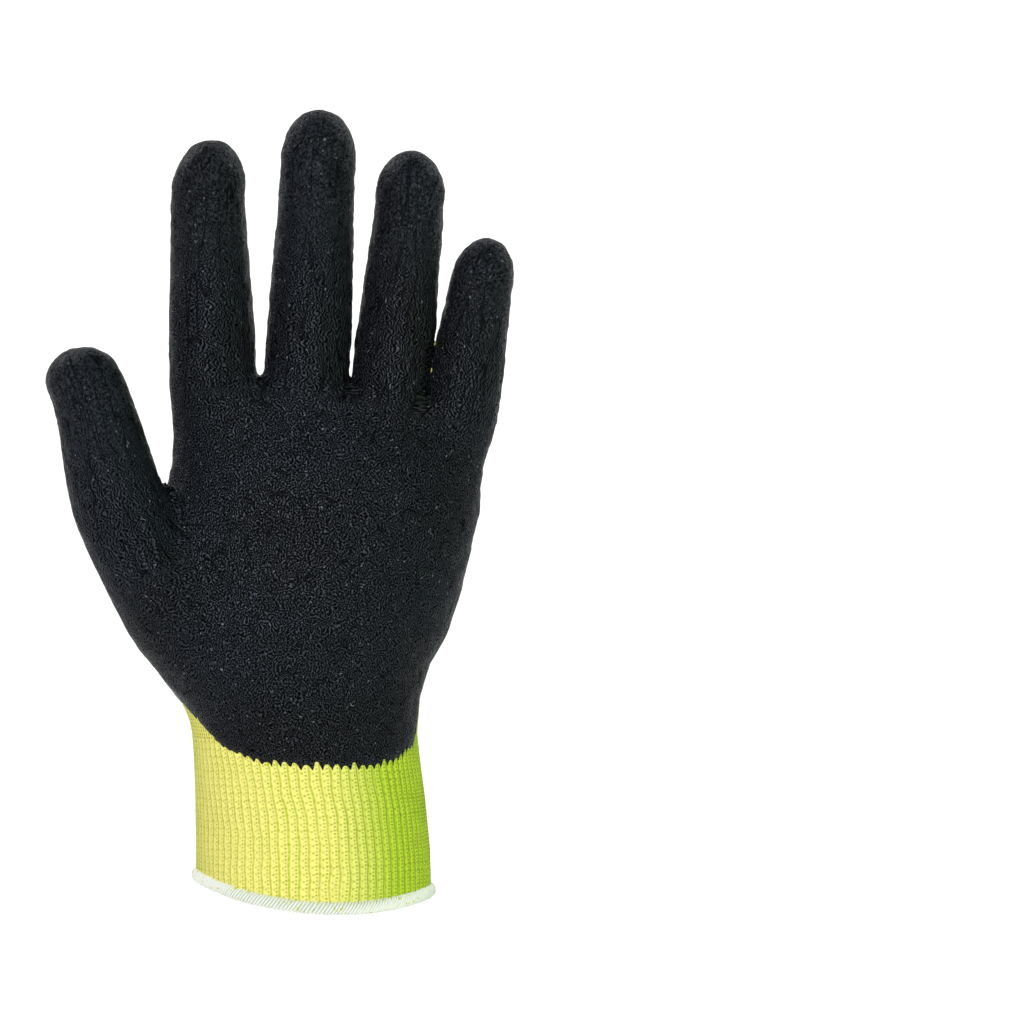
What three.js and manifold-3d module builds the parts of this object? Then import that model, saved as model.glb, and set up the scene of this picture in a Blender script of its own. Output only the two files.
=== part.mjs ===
// A knitted work glove for the left hand, dipped in latex on its palm side, standing as a hand fills it.
// Millimetres, +Z from the wrist opening to the fingertips, palm towards -Y, thumb towards -X.
// Origin: the middle of the wrist opening, level with the lowest point of the hem.
import * as THREE from "three";
import { mergeVertices } from "three/addons/utils/BufferGeometryUtils.js";
import Module from "manifold-3d";

const wasm = await Module();
wasm.setup();

// Walls and clearances
const LINER_WALL = 1.3;
const COAT_THICKNESS = 0.9;
const CLEARANCE = 0.3;

// Knit wrist and hem
const CUFF_LENGTH = 53;
const CUFF_WIDTH = 73.2;
const CUFF_SHIFT = 0.6;
const CUFF_DEPTH = 52;
const WRIST_WIDTH = 70;
const WRIST_DEPTH = 47;
const WRIST_SHIFT = -2.2;
const RIB_COUNT = 78;
const RIB_DEPTH = 0.4;
const HEM_HEIGHT = 4.6;
const HEM_THICKNESS = 4.6;
const HEM_SEAT = 1.8;
const HEM_SIDE_RISE = 5.5;
const HEM_TILT = 2.2;

// Hand
const PALM_LENGTH = 109;
const PALM_WIDTH = 98;
const PALM_SHIFT = 6.9;
const KNUCKLE_DEPTH = 25;

// Stalls: the length of each runs from its crotch to its tip
const INDEX_LENGTH = 74;
const INDEX_WIDTH = 25.4;
const MIDDLE_LENGTH = 84.6;
const MIDDLE_WIDTH = 24.1;
const RING_LENGTH = 75.6;
const RING_WIDTH = 22.5;
const LITTLE_LENGTH = 54.4;
const LITTLE_WIDTH = 21.2;
const THUMB_LENGTH = 120;
const THUMB_WIDTH = 26;
const FINGER_CURL = 9;
const STALL_FLATNESS = 0.9;
const THENAR_LENGTH = 66;
const THENAR_WIDTH = 33;

// Dip line of the latex: how high the coat starts, how much higher it starts at the wrist's sides, and
// where the line runs between the palm and the back, in degrees from upright seen from the top and
// from the side
const COAT_START = 44.6;
const COAT_SIDE_RISE = 15;
const DIP_AT_KNUCKLES = 3.5;
const DIP_SLANT_ACROSS = 5.4;
const DIP_SLANT_UP = 6.8;

// Fineness of the facets
const STALL_SIDES = 12;
const SACK_SIDES = 28;
const HEM_SIDES = 36;
const DOME_STEPS = 4;
const DOME_BLUNTNESS = 0.35;
const AXIS_STEPS = 24;

const KNUCKLE_HEIGHT = CUFF_LENGTH + PALM_LENGTH;

// The cuff: up is a share of CUFF_LENGTH, and the others go from the hem's size (0) to the wrist's (1).
const CUFF_ROWS = [
  { up: 0.0, thumbSide: 0.0, littleSide: 0.0, front: 0.0, back: 0.0, square: 2.1 },
  { up: 0.3, thumbSide: 0.05, littleSide: 0.1, front: 0.25, back: 0.25, square: 2.1 },
  { up: 0.62, thumbSide: 0.2, littleSide: 0.45, front: 0.65, back: 0.7, square: 2.1 },
  { up: 0.84, thumbSide: 0.5, littleSide: 0.8, front: 0.9, back: 0.95, square: 2.15 },
];

// The palm: up is a share of PALM_LENGTH, and the others go from the wrist's size (0) to the knuckles'
// (1).
const PALM_ROWS = [
  { up: 0.0, thumbSide: 0.0, littleSide: 0.0, front: 0.0, back: 0.0, square: 2.2 },
  { up: 0.11, thumbSide: 0.35, littleSide: 0.0, front: -0.05, back: 0.12, square: 2.2 },
  { up: 0.2, thumbSide: 0.7, littleSide: 0.1, front: -0.12, back: 0.25, square: 2.25 },
  { up: 0.285, thumbSide: 0.92, littleSide: 0.335, front: -0.16, back: 0.37, square: 2.3 },
  { up: 0.4, thumbSide: 1.3, littleSide: 0.515, front: -0.12, back: 0.48, square: 2.35 },
  { up: 0.52, thumbSide: 2.0, littleSide: 0.645, front: 0.04, back: 0.58, square: 2.4 },
  { up: 0.63, thumbSide: 1.6, littleSide: 0.75, front: 0.24, back: 0.67, square: 2.5 },
  { up: 0.78, thumbSide: 1.1, littleSide: 0.8, front: 0.54, back: 0.8, square: 2.6 },
  { up: 0.92, thumbSide: 1.0, littleSide: 0.89, front: 1.0, back: 0.98, square: 2.7 },
  { up: 0.98, thumbSide: 0.97, littleSide: 0.93, front: 1.14, back: 1.12, square: 2.7 },
];
const CROWN_INSET = 3.6;

// The stalls. across: the root's place as a share of PALM_WIDTH from the palm's middle; drop: how far
// the crotch lies under the knuckle line, as a share of PALM_LENGTH; lean: degrees from upright,
// positive to the little finger; turn: degrees that the back of the stall turns the same way; tip: the
// width before the dome as a share of the root's.
const FINGERS = [
  { name: "index", across: -0.385, drop: 0.0, lean: -1.5, turn: -14, tip: 0.81 },
  { name: "middle", across: -0.091, drop: 0.01, lean: 3.1, turn: 0, tip: 0.86 },
  { name: "ring", across: 0.171, drop: 0.04, lean: 6.1, turn: 18, tip: 0.85 },
  { name: "little", across: 0.393, drop: 0.09, lean: 9.5, turn: 26, tip: 0.79 },
];
const FINGER_SIZES = {
  index: { length: INDEX_LENGTH, width: INDEX_WIDTH },
  middle: { length: MIDDLE_LENGTH, width: MIDDLE_WIDTH },
  ring: { length: RING_LENGTH, width: RING_WIDTH },
  little: { length: LITTLE_LENGTH, width: LITTLE_WIDTH },
};
const FINGER_DOME = 0.56;
const FINGER_ROOT = 0.2;
const ROOT_NARROWING = 0.8;
const PRISM_REACH = 3;

// The seams of the stalls: how far over its crotch each finger's begins, how far beyond the palm the
// thumb's does, and how far the outer fingers' shares reach, in shares of their widths
const SEAM_RISE = 2;
const THUMB_SEAM_OUT = 3.4;
const OUTER_REACH = 0.8;

// The bare knit on the back of each stall. arch: where it ends under the tip, and bare: where its
// edges reach the sides, in shares of the stall's length from the tip; lap: how far the latex passes
// the middle of the side there, as a share of half the depth.
const BARE_BACKS = {
  index: { arch: 0.21, bare: 0.86, lap: 0.2 },
  middle: { arch: 0.15, bare: 0.58, lap: 0.1 },
  ring: { arch: 0.18, bare: 0.78, lap: 0.2 },
  little: { arch: 0.24, bare: 0.7, lap: 0.42 },
  thumb: { arch: 0.145, bare: 0.2, lap: 0.74 },
};

// The coat's lower edge. across: a share of half the WRIST_WIDTH from its middle; rise: a share of
// COAT_SIDE_RISE.
const COAT_EDGE = [
  { across: -1.11, rise: 1.33 },
  { across: -0.97, rise: 1.01 },
  { across: -0.83, rise: 0.64 },
  { across: -0.69, rise: 0.37 },
  { across: -0.4, rise: 0.1 },
  { across: -0.04, rise: 0.03 },
  { across: 0.6, rise: 0.0 },
  { across: 0.81, rise: 0.12 },
  { across: 0.95, rise: 0.39 },
  { across: 1.03, rise: 0.9 },
];

// The hem's outline over the edge of the knit. out: a share of half the HEM_THICKNESS; up: a share of
// HEM_HEIGHT.
const HEM_OUTLINE = [
  { out: -0.75, up: 1.0 },
  { out: -1.0, up: 0.55 },
  { out: -0.7, up: 0.12 },
  { out: 0.0, up: 0.0 },
  { out: 0.7, up: 0.12 },
  { out: 1.0, up: 0.55 },
  { out: 0.75, up: 1.0 },
];

// The thumb: its root lies inside the palm, and the latex reaches over its side by dipTurn and up from
// its web.
const THUMB = {
  rootAcross: -0.279,
  rootUp: 0.124,
  rootBehind: -4,
  pitch: 8,
  turn: -15,
  dipTurn: -46,
  web: 0.54,
};
// Width and depth are shares of THUMB_WIDTH; lean is the axis's own at that share of THUMB_LENGTH, in
// degrees.
const THUMB_ROWS = [
  { along: 0.0, lean: 46, width: 1.18, depth: 1.12 },
  { along: 0.1, lean: 43, width: 1.25, depth: 1.2 },
  { along: 0.3, lean: 35, width: 1.24, depth: 1.22 },
  { along: 0.45, lean: 27, width: 1.14, depth: 1.1 },
  { along: 0.57, lean: 19, width: 1.04, depth: 1.0 },
  { along: 0.68, lean: 13, width: 0.96, depth: 0.92 },
  { along: 0.8, lean: 13, width: 0.87, depth: 0.84 },
  { along: 1.0, lean: 26, width: 0.79, depth: 0.74 },
];
// The ball of the thumb, a swelling between the thumb and the palm: lean is in degrees, the rest are
// shares as above.
const THENAR = { rootAcross: -0.19, rootUp: 0.1, rootBehind: -6, lean: 30, dome: 0.36 };
const THENAR_ROWS = [
  { along: 0.0, width: 0.84, depth: 0.8 },
  { along: 0.3, width: 1.0, depth: 0.94 },
  { along: 0.6, width: 0.84, depth: 0.76 },
  { along: 0.82, width: 0.66, depth: 0.6 },
];
const THUMB_DOME = 0.37;

const mix = THREE.MathUtils.lerp;
const radians = THREE.MathUtils.degToRad;

// A closed solid through rings of equally many points: the ends are capped, or the last ring joins the
// first.
function loft(rings, joined = false) {
  const sides = rings[0].length;
  const points = rings.flat();
  const faces = [];
  const bands = joined ? rings.length : rings.length - 1;
  for (let r = 0; r < bands; r++) {
    const low = r * sides;
    const high = ((r + 1) % rings.length) * sides;
    for (let i = 0; i < sides; i++) {
      const j = (i + 1) % sides;
      faces.push(low + i, low + j, high + j, low + i, high + j, high + i);
    }
  }
  if (!joined) {
    const last = (rings.length - 1) * sides;
    for (const [start, ring, turned] of [[0, rings[0], true], [last, rings.at(-1), false]]) {
      const middle = points.length;
      points.push(ring.reduce((sum, p) => sum.add(p), new THREE.Vector3()).divideScalar(sides));
      for (let i = 0; i < sides; i++) {
        const j = (i + 1) % sides;
        faces.push(middle, start + (turned ? j : i), start + (turned ? i : j));
      }
    }
  }
  return new THREE.BufferGeometry().setFromPoints(points).setIndex(faces);
}

function toSolid(geometry) {
  const bare = geometry.clone();
  bare.deleteAttribute("normal");
  bare.deleteAttribute("uv");
  const merged = mergeVertices(bare, 1e-4);
  const mesh = new wasm.Mesh({
    numProp: 3,
    vertProperties: merged.attributes.position.array,
    triVerts: new Uint32Array(merged.index.array),
  });
  return new wasm.Manifold(mesh);
}

function toGeometry(solid) {
  const mesh = solid.getMesh();
  return new THREE.BufferGeometry()
    .setAttribute("position", new THREE.BufferAttribute(mesh.vertProperties, 3))
    .setIndex(new THREE.BufferAttribute(mesh.triVerts, 1));
}

// The hem is higher at the wrist's two sides than at its front and back.
function hemRise(angle) {
  return HEM_SIDE_RISE * Math.cos(angle) ** 2 - HEM_TILT * Math.cos(angle);
}

// The extents of the sack, cuff and palm, at each row of its tables.
function sackRows() {
  const extents = (shift, width, depth) => ({
    thumbSide: shift - width / 2,
    littleSide: shift + width / 2,
    front: -depth / 2,
    back: depth / 2,
  });
  const hem = extents(CUFF_SHIFT, CUFF_WIDTH, CUFF_DEPTH);
  const wrist = extents(WRIST_SHIFT, WRIST_WIDTH, WRIST_DEPTH);
  const knuckles = extents(PALM_SHIFT, PALM_WIDTH, KNUCKLE_DEPTH);
  const between = (from, to, row, height) => ({
    height,
    square: row.square,
    thumbSide: mix(from.thumbSide, to.thumbSide, row.thumbSide),
    littleSide: mix(from.littleSide, to.littleSide, row.littleSide),
    front: mix(from.front, to.front, row.front),
    back: mix(from.back, to.back, row.back),
  });
  return [
    ...CUFF_ROWS.map((row) => between(hem, wrist, row, row.up * CUFF_LENGTH)),
    ...PALM_ROWS.map((row) => between(wrist, knuckles, row, CUFF_LENGTH + row.up * PALM_LENGTH)),
  ];
}

// The row of the sack at any height, between the rows of the tables.
function rowAt(height) {
  const rows = sackRows();
  const next = Math.min(rows.length - 1, Math.max(1, rows.findIndex((row) => row.height >= height)));
  const [low, high] = [rows[next - 1], rows[next]];
  const share = (height - low.height) / (high.height - low.height);
  const row = { height };
  for (const key of ["square", "thumbSide", "littleSide", "front", "back"]) {
    row[key] = mix(low[key], high[key], share);
  }
  return row;
}

// How far the knuckle line lies under its highest place at an x: the rows under it follow it less and
// less.
function knuckleDrop(x, height) {
  const across = (x - PALM_SHIFT) / PALM_WIDTH;
  const nearer = FINGERS.slice(0, -1).findLastIndex((finger) => finger.across < across);
  const before = FINGERS[Math.max(0, nearer)];
  const after = FINGERS[FINGERS.indexOf(before) + 1];
  const share = THREE.MathUtils.clamp((across - before.across) / (after.across - before.across), 0, 1.3);
  const follow = THREE.MathUtils.smoothstep((height - CUFF_LENGTH) / PALM_LENGTH, 0.55, 0.98);
  return mix(before.drop, after.drop, share) * PALM_LENGTH * follow;
}

// One ring of the sack, grown by an offset. lift says how far a point at an angle stands above the
// row's height.
function sackRing(row, offset, sides, lift = () => 0, relief = () => 0) {
  const middle = (row.thumbSide + row.littleSide) / 2;
  const half = (row.littleSide - row.thumbSide) / 2;
  return Array.from({ length: sides }, (_, i) => {
    const angle = (2 * Math.PI * i) / sides;
    const [c, s] = [Math.cos(angle), Math.sin(angle)];
    const grow = offset - relief(i);
    const deep = s < 0 ? -row.front : row.back;
    const x = middle + (half + grow) * Math.sign(c) * Math.abs(c) ** (2 / row.square);
    const y = (deep + grow) * Math.sign(s) * Math.abs(s) ** (2 / row.square);
    return new THREE.Vector3(x, y, row.height + lift(angle) - knuckleDrop(x, row.height));
  });
}

// The closed outer form of the cuff and palm from a height up, rounded over between the fingers.
function sack(offset, from) {
  const rows = [rowAt(from), ...sackRows().filter((row) => row.height > from)];
  const top = rows.at(-1);
  const rings = rows.map((row) => sackRing(row, offset, SACK_SIDES));
  rings.push(sackRing({ ...top, height: KNUCKLE_HEIGHT + offset }, offset - CROWN_INSET, SACK_SIDES));
  return toSolid(loft(rings));
}

// The directions across a stall's axis: out of its back, turned by some degrees, and to its side.
function acrossAxis(along, turn) {
  const back = new THREE.Vector3(0, 1, 0).applyAxisAngle(along, -radians(turn));
  back.addScaledVector(along, -back.dot(along)).normalize();
  return { back, side: back.clone().cross(along).normalize() };
}

// A ring of a stall: an ellipse across its axis at a point.
function stallRing({ at, along }, turn, halfWidth, halfDepth) {
  const { back, side } = acrossAxis(along, turn);
  return Array.from({ length: STALL_SIDES }, (_, i) => {
    const angle = (2 * Math.PI * i) / STALL_SIDES;
    const point = at.clone().addScaledVector(side, halfWidth * Math.cos(angle));
    return point.addScaledVector(back, halfDepth * Math.sin(angle));
  });
}

// The place and direction of a finger's axis at a distance above its crotch.
function fingerAxis(finger, distance) {
  const lean = radians(finger.lean);
  const curl = radians(FINGER_CURL) * Math.max(0, distance / FINGER_SIZES[finger.name].length);
  const upward = new THREE.Vector3(Math.sin(lean), 0, Math.cos(lean));
  const at = new THREE.Vector3(
    PALM_SHIFT + finger.across * PALM_WIDTH,
    -Math.max(0, distance) * Math.sin(curl / 2),
    KNUCKLE_HEIGHT - finger.drop * PALM_LENGTH,
  ).addScaledVector(upward, distance);
  const along = upward.multiplyScalar(Math.cos(curl));
  along.y = -Math.sin(curl);
  return { at, along: along.normalize() };
}

// The value of a column of the thumb's table at a share of its length.
function thumbAt(share, column) {
  const next = Math.max(1, THUMB_ROWS.findIndex((row) => row.along >= Math.min(share, 1)));
  const [low, high] = [THUMB_ROWS[next - 1], THUMB_ROWS[next]];
  return mix(low[column], high[column], (share - low.along) / (high.along - low.along));
}

// The place and direction of the thumb's axis at a distance from its root.
function thumbAxis(distance) {
  const at = new THREE.Vector3(
    PALM_SHIFT + THUMB.rootAcross * PALM_WIDTH,
    THUMB.rootBehind,
    CUFF_LENGTH + THUMB.rootUp * PALM_LENGTH,
  );
  const along = new THREE.Vector3();
  const pitch = radians(THUMB.pitch);
  const aim = (share) => {
    const lean = radians(thumbAt(share, "lean"));
    along.set(-Math.sin(lean) * Math.cos(pitch), -Math.sin(pitch), Math.cos(lean) * Math.cos(pitch));
  };
  const share = distance / THUMB_LENGTH;
  for (let i = 0; i < AXIS_STEPS; i++) {
    aim((share * (i + 0.5)) / AXIS_STEPS);
    at.addScaledVector(along, distance / AXIS_STEPS);
  }
  aim(share);
  return { at, along: along.clone() };
}

// A stall's closed form, grown by an offset: the rings under the dome, then the dome over the end of
// the axis.
function stall(rows, axisAt, length, turn, dome, offset) {
  const rings = rows.map((row, i) => {
    const distance = i === 0 ? row.distance - offset : row.distance;
    return stallRing(axisAt(distance), turn, row.halfWidth + offset, row.halfDepth + offset);
  });
  const { halfWidth, halfDepth } = rows.at(-1);
  for (let i = 1; i <= DOME_STEPS; i++) {
    const angle = (Math.PI / 2) * (i / (DOME_STEPS + DOME_BLUNTNESS));
    const end = axisAt(length - dome + (dome + offset) * Math.sin(angle));
    const narrowed = Math.cos(angle);
    rings.push(stallRing(end, turn, (halfWidth + offset) * narrowed, (halfDepth + offset) * narrowed));
  }
  return toSolid(loft(rings));
}

function fingerStall(finger, offset) {
  const { length, width } = FINGER_SIZES[finger.name];
  const dome = width * FINGER_DOME;
  const rows = [0, 0.3, 0.62, 1].map((share) => {
    const distance = share * (length - dome);
    const taper = 1 - (1 - finger.tip) * THREE.MathUtils.smoothstep(distance / length, 0.1, 0.85);
    return { distance, halfWidth: (width / 2) * taper, halfDepth: (width / 2) * taper * STALL_FLATNESS };
  });
  const root = (width / 2) * ROOT_NARROWING;
  rows.unshift({ distance: -FINGER_ROOT * length, halfWidth: root, halfDepth: root * STALL_FLATNESS });
  return stall(rows, (distance) => fingerAxis(finger, distance), length, finger.turn, dome, offset);
}

function thumbStall(offset) {
  const dome = THUMB_WIDTH * THUMB_DOME;
  const domeStart = 1 - dome / THUMB_LENGTH;
  const shares = THUMB_ROWS.map((row) => row.along).filter((along) => along < domeStart - 0.02);
  const rows = [...shares, domeStart].map((share) => ({
    distance: share * THUMB_LENGTH,
    halfWidth: (THUMB_WIDTH / 2) * thumbAt(share, "width"),
    halfDepth: (THUMB_WIDTH / 2) * thumbAt(share, "depth"),
  }));
  return stall(rows, thumbAxis, THUMB_LENGTH, THUMB.turn, dome, offset);
}

function thenar(offset) {
  const lean = radians(THENAR.lean);
  const along = new THREE.Vector3(-Math.sin(lean), 0, Math.cos(lean));
  const root = new THREE.Vector3(
    PALM_SHIFT + THENAR.rootAcross * PALM_WIDTH,
    THENAR.rootBehind,
    CUFF_LENGTH + THENAR.rootUp * PALM_LENGTH,
  );
  const axisAt = (distance) => ({ at: root.clone().addScaledVector(along, distance), along });
  const rows = THENAR_ROWS.map((row) => ({
    distance: row.along * THENAR_LENGTH,
    halfWidth: (THENAR_WIDTH / 2) * row.width,
    halfDepth: (THENAR_WIDTH / 2) * row.depth,
  }));
  return stall(rows, axisAt, THENAR_LENGTH, 0, THENAR_WIDTH * THENAR.dome, offset);
}

// The whole closed form of the hand, grown by an offset, from a height up.
function handForm(offset, from) {
  let form = sack(offset, from).add(thumbStall(offset)).add(thenar(offset));
  for (const finger of FINGERS) form = form.add(fingerStall(finger, offset));
  return form;
}

// A prism over a stall that holds the part of it that is dipped: in front of a line that starts past
// the middle of the stall's sides and climbs over its back to the tip.
function dippedPrism(axisAt, length, turn, halfWidth, halfDepth, from, { arch, bare, lap }) {
  const front = -PRISM_REACH * halfDepth;
  const side = halfDepth * lap;
  const climb = (halfDepth - side) / (length * (bare - arch));
  const top = length + halfWidth;
  const profile = new THREE.Shape([
    new THREE.Vector2(front, from),
    new THREE.Vector2(side, from),
    new THREE.Vector2(side, length * (1 - bare)),
    new THREE.Vector2(halfDepth + climb * (top - length * (1 - arch)), top),
    new THREE.Vector2(front, top),
  ]);
  const width = PRISM_REACH * halfWidth;
  const prism = new THREE.ExtrudeGeometry(profile, { depth: width, bevelEnabled: false });
  prism.translate(0, 0, -width / 2);
  const middle = length * (1 - bare / 2);
  const { at, along } = axisAt(middle);
  const { back } = acrossAxis(along, turn);
  const place = new THREE.Matrix4().makeBasis(back, along, back.clone().cross(along));
  place.setPosition(at.addScaledVector(along, -middle));
  return toSolid(prism.applyMatrix4(place));
}

// The block over the palm that holds what is dipped: its lower edge hangs in a bow over the front of
// the wrist, and its back slants.
function dippedPalm() {
  const edge = COAT_EDGE.map(
    ({ across, rise }) =>
      new THREE.Vector2(WRIST_SHIFT + (across * WRIST_WIDTH) / 2, COAT_START + rise * COAT_SIDE_RISE),
  );
  const [first, last] = [edge[0], edge.at(-1)];
  const outline = new THREE.Shape([
    ...edge,
    new THREE.Vector2(last.x + PALM_WIDTH, last.y),
    new THREE.Vector2(last.x + PALM_WIDTH, KNUCKLE_HEIGHT + COAT_THICKNESS),
    new THREE.Vector2(first.x - PALM_WIDTH, KNUCKLE_HEIGHT + COAT_THICKNESS),
  ]);
  const block = new THREE.ExtrudeGeometry(outline, { depth: PALM_WIDTH, bevelEnabled: false });
  block.rotateX(Math.PI / 2);
  block.translate(0, DIP_AT_KNUCKLES, -KNUCKLE_HEIGHT);
  const [across, up] = [DIP_SLANT_ACROSS, DIP_SLANT_UP].map((degrees) => Math.tan(radians(degrees)));
  block.applyMatrix4(new THREE.Matrix4().makeShear(across, 0, 0, 0, 0, up));
  block.translate(0, 0, KNUCKLE_HEIGHT);
  return toSolid(block);
}

// A block of a plain outline seen from the front, as deep as the whole hand.
function frontBlock(corners) {
  const outline = new THREE.Shape(corners.map(([x, z]) => new THREE.Vector2(x, z)));
  const block = new THREE.ExtrudeGeometry(outline, { depth: PALM_WIDTH, bevelEnabled: false });
  block.rotateX(Math.PI / 2);
  block.translate(0, PALM_WIDTH / 2, 0);
  return toSolid(block);
}

// The block that holds one finger's stall: over its crotch and halfway to its neighbours.
function stallBlock(place, offset) {
  const finger = FINGERS[place];
  const { length, width } = FINGER_SIZES[finger.name];
  const axisX = ({ across, drop, lean }, z) => {
    const climb = z - KNUCKLE_HEIGHT + drop * PALM_LENGTH;
    return PALM_SHIFT + across * PALM_WIDTH + climb * Math.tan(radians(lean));
  };
  const edgeX = (side, z) => {
    const next = FINGERS[place + side];
    const reach = next ? (axisX(next, z) - axisX(finger, z)) / 2 : side * OUTER_REACH * width;
    return axisX(finger, z) + reach + side * offset;
  };
  const crotch = KNUCKLE_HEIGHT - finger.drop * PALM_LENGTH;
  const foot = crotch + SEAM_RISE - offset;
  const top = crotch + length + width;
  return frontBlock([
    [edgeX(-1, foot), foot],
    [edgeX(1, foot), foot],
    [edgeX(1, top), top],
    [edgeX(-1, top), top],
  ]);
}

// The block that holds the thumb's stall: everything beyond the palm on the thumb's side.
function thumbBlock(offset) {
  const seam = PALM_SHIFT - PALM_WIDTH / 2 - THUMB_SEAM_OUT + offset;
  const outer = seam - THUMB_LENGTH;
  return frontBlock([
    [outer, 0],
    [seam, 0],
    [seam, KNUCKLE_HEIGHT + THUMB_LENGTH],
    [outer, KNUCKLE_HEIGHT + THUMB_LENGTH],
  ]);
}

// The largest body of a solid, without the slivers that a cut leaves of a neighbour.
function mainBody(solid) {
  const bodies = solid.decompose();
  return bodies.reduce((main, body) => (body.volume() > main.volume() ? body : main));
}

// The knit hand, from the top of the cuff: the palm and the five stalls, a small gap apart.
function linerPieces() {
  const from = CUFF_LENGTH + CLEARANCE;
  const hand = handForm(0, from).subtract(handForm(-LINER_WALL, from - LINER_WALL));
  const blocks = (offset) => [
    ...FINGERS.map((_, place) => stallBlock(place, offset)),
    thumbBlock(offset),
  ];
  const stalls = blocks(-CLEARANCE / 2).map((block) => mainBody(hand.intersect(block)));
  const palm = blocks(CLEARANCE / 2).reduce((rest, block) => rest.subtract(block), hand);
  return { palm, stalls };
}

// The skin of latex over the liner, where it is dipped.
function latexCoat() {
  const from = COAT_START / 2;
  const outside = handForm(CLEARANCE + COAT_THICKNESS, from);
  const skin = outside.subtract(handForm(CLEARANCE, from - COAT_THICKNESS));
  const [thumbHalfWidth, thumbHalfDepth] = ["width", "depth"].map(
    (column) => (THUMB_WIDTH / 2) * thumbAt(THUMB.web, column),
  );
  let dipped = dippedPalm().add(
    dippedPrism(
      thumbAxis,
      THUMB_LENGTH,
      THUMB.dipTurn,
      thumbHalfWidth,
      thumbHalfDepth,
      THUMB.web * THUMB_LENGTH,
      BARE_BACKS.thumb,
    ),
  );
  for (const finger of FINGERS) {
    const { length, width } = FINGER_SIZES[finger.name];
    dipped = dipped.add(
      dippedPrism(
        (distance) => fingerAxis(finger, distance),
        length,
        finger.turn,
        width / 2,
        (width / 2) * STALL_FLATNESS,
        -FINGER_ROOT * length,
        BARE_BACKS[finger.name],
      ),
    );
  }
  return skin.intersect(dipped);
}

// The knit wrist: a sleeve whose outside is grooved into ribs, drawn in a little and standing in the
// hem.
function knitCuff() {
  const sides = 2 * RIB_COUNT;
  const drawnIn = CLEARANCE / 2;
  const groove = (i) => (i % 2 ? RIB_DEPTH : 0);
  const heights = [0, 0.5, 1].map((share) => mix(HEM_SEAT, CUFF_LENGTH, share));
  const ring = (height, offset, relief) => {
    const follow = THREE.MathUtils.clamp(1 - (height - HEM_SEAT) / (CUFF_LENGTH * 0.6), 0, 1);
    return sackRing(rowAt(height), offset, sides, (angle) => hemRise(angle) * follow, relief);
  };
  const outside = heights.map((height) => ring(height, -drawnIn, groove));
  const inside = heights.map((height) => ring(height, -drawnIn - LINER_WALL)).reverse();
  return toSolid(loft([...outside, ...inside], true));
}

// The overlocked hem: a round roll with a groove on top that the edge of the knit stands in.
function hem() {
  const middle = -CLEARANCE / 2 - LINER_WALL / 2;
  const leg = LINER_WALL / 2 + CLEARANCE;
  const [seat, lip] = [HEM_SEAT - CLEARANCE, HEM_HEIGHT - CLEARANCE];
  const groove = [
    [leg, lip],
    [leg, seat],
    [-leg, seat],
    [-leg, lip],
  ];
  const roll = HEM_OUTLINE.map(({ out, up }) => [(out * HEM_THICKNESS) / 2, up * HEM_HEIGHT]);
  const rings = [...groove, ...roll].map(([out, up]) =>
    sackRing({ ...rowAt(0), height: up }, middle + out, HEM_SIDES, hemRise),
  );
  return toSolid(loft(rings, true));
}

const neonKnit = new THREE.MeshStandardMaterial({ color: "#d8e84a", roughness: 0.85, metalness: 0 });
const neonRib = new THREE.MeshStandardMaterial({ color: "#dfe75c", roughness: 0.85, metalness: 0 });
const blackLatex = new THREE.MeshStandardMaterial({ color: "#26282c", roughness: 0.6, metalness: 0 });
const whiteYarn = new THREE.MeshStandardMaterial({ color: "#eef2ea", roughness: 0.9, metalness: 0 });

function piece(name, solid, material) {
  const mesh = new THREE.Mesh(toGeometry(solid), material);
  mesh.name = name;
  return mesh;
}

const liner = linerPieces();
const glove = new THREE.Group();
glove.name = "glove";
glove.add(
  piece("liner_palm", liner.palm, neonKnit),
  ...FINGERS.map(({ name }, place) => piece(`liner_${name}`, liner.stalls[place], neonKnit)),
  piece("liner_thumb", liner.stalls.at(-1), neonKnit),
  piece("knit_cuff", knitCuff(), neonRib),
  piece("latex_coating", latexCoat(), blackLatex),
  piece("hem_overlock", hem(), whiteYarn),
);

export default glove;
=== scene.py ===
"""A left-hand work glove: a neon yellow knitted liner with a ribbed wrist, its palm and
fingertips dipped in black crinkled latex, and a white overlocked hem."""

import math

import bmesh
import bpy
import numpy as np
from mathutils import Matrix, Vector, noise


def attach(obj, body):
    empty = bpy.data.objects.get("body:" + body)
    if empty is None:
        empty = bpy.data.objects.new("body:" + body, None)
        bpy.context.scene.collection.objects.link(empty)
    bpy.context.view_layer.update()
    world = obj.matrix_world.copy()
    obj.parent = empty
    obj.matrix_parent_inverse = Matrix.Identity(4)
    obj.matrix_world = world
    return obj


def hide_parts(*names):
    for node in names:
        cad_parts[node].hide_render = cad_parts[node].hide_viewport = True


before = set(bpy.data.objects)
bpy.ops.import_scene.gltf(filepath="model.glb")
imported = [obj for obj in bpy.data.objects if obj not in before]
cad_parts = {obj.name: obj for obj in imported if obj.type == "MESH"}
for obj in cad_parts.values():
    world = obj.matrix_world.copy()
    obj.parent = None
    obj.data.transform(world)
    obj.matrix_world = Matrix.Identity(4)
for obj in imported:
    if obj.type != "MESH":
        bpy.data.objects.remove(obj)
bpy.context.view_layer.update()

MM = 0.001

# Sizes of the glove, in millimetres and degrees

LINER_WALL = 1.3
LINER_VOXEL = 1.25
LATEX_THICKNESS = 1.1
LATEX_VOXEL = 1.15

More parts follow.
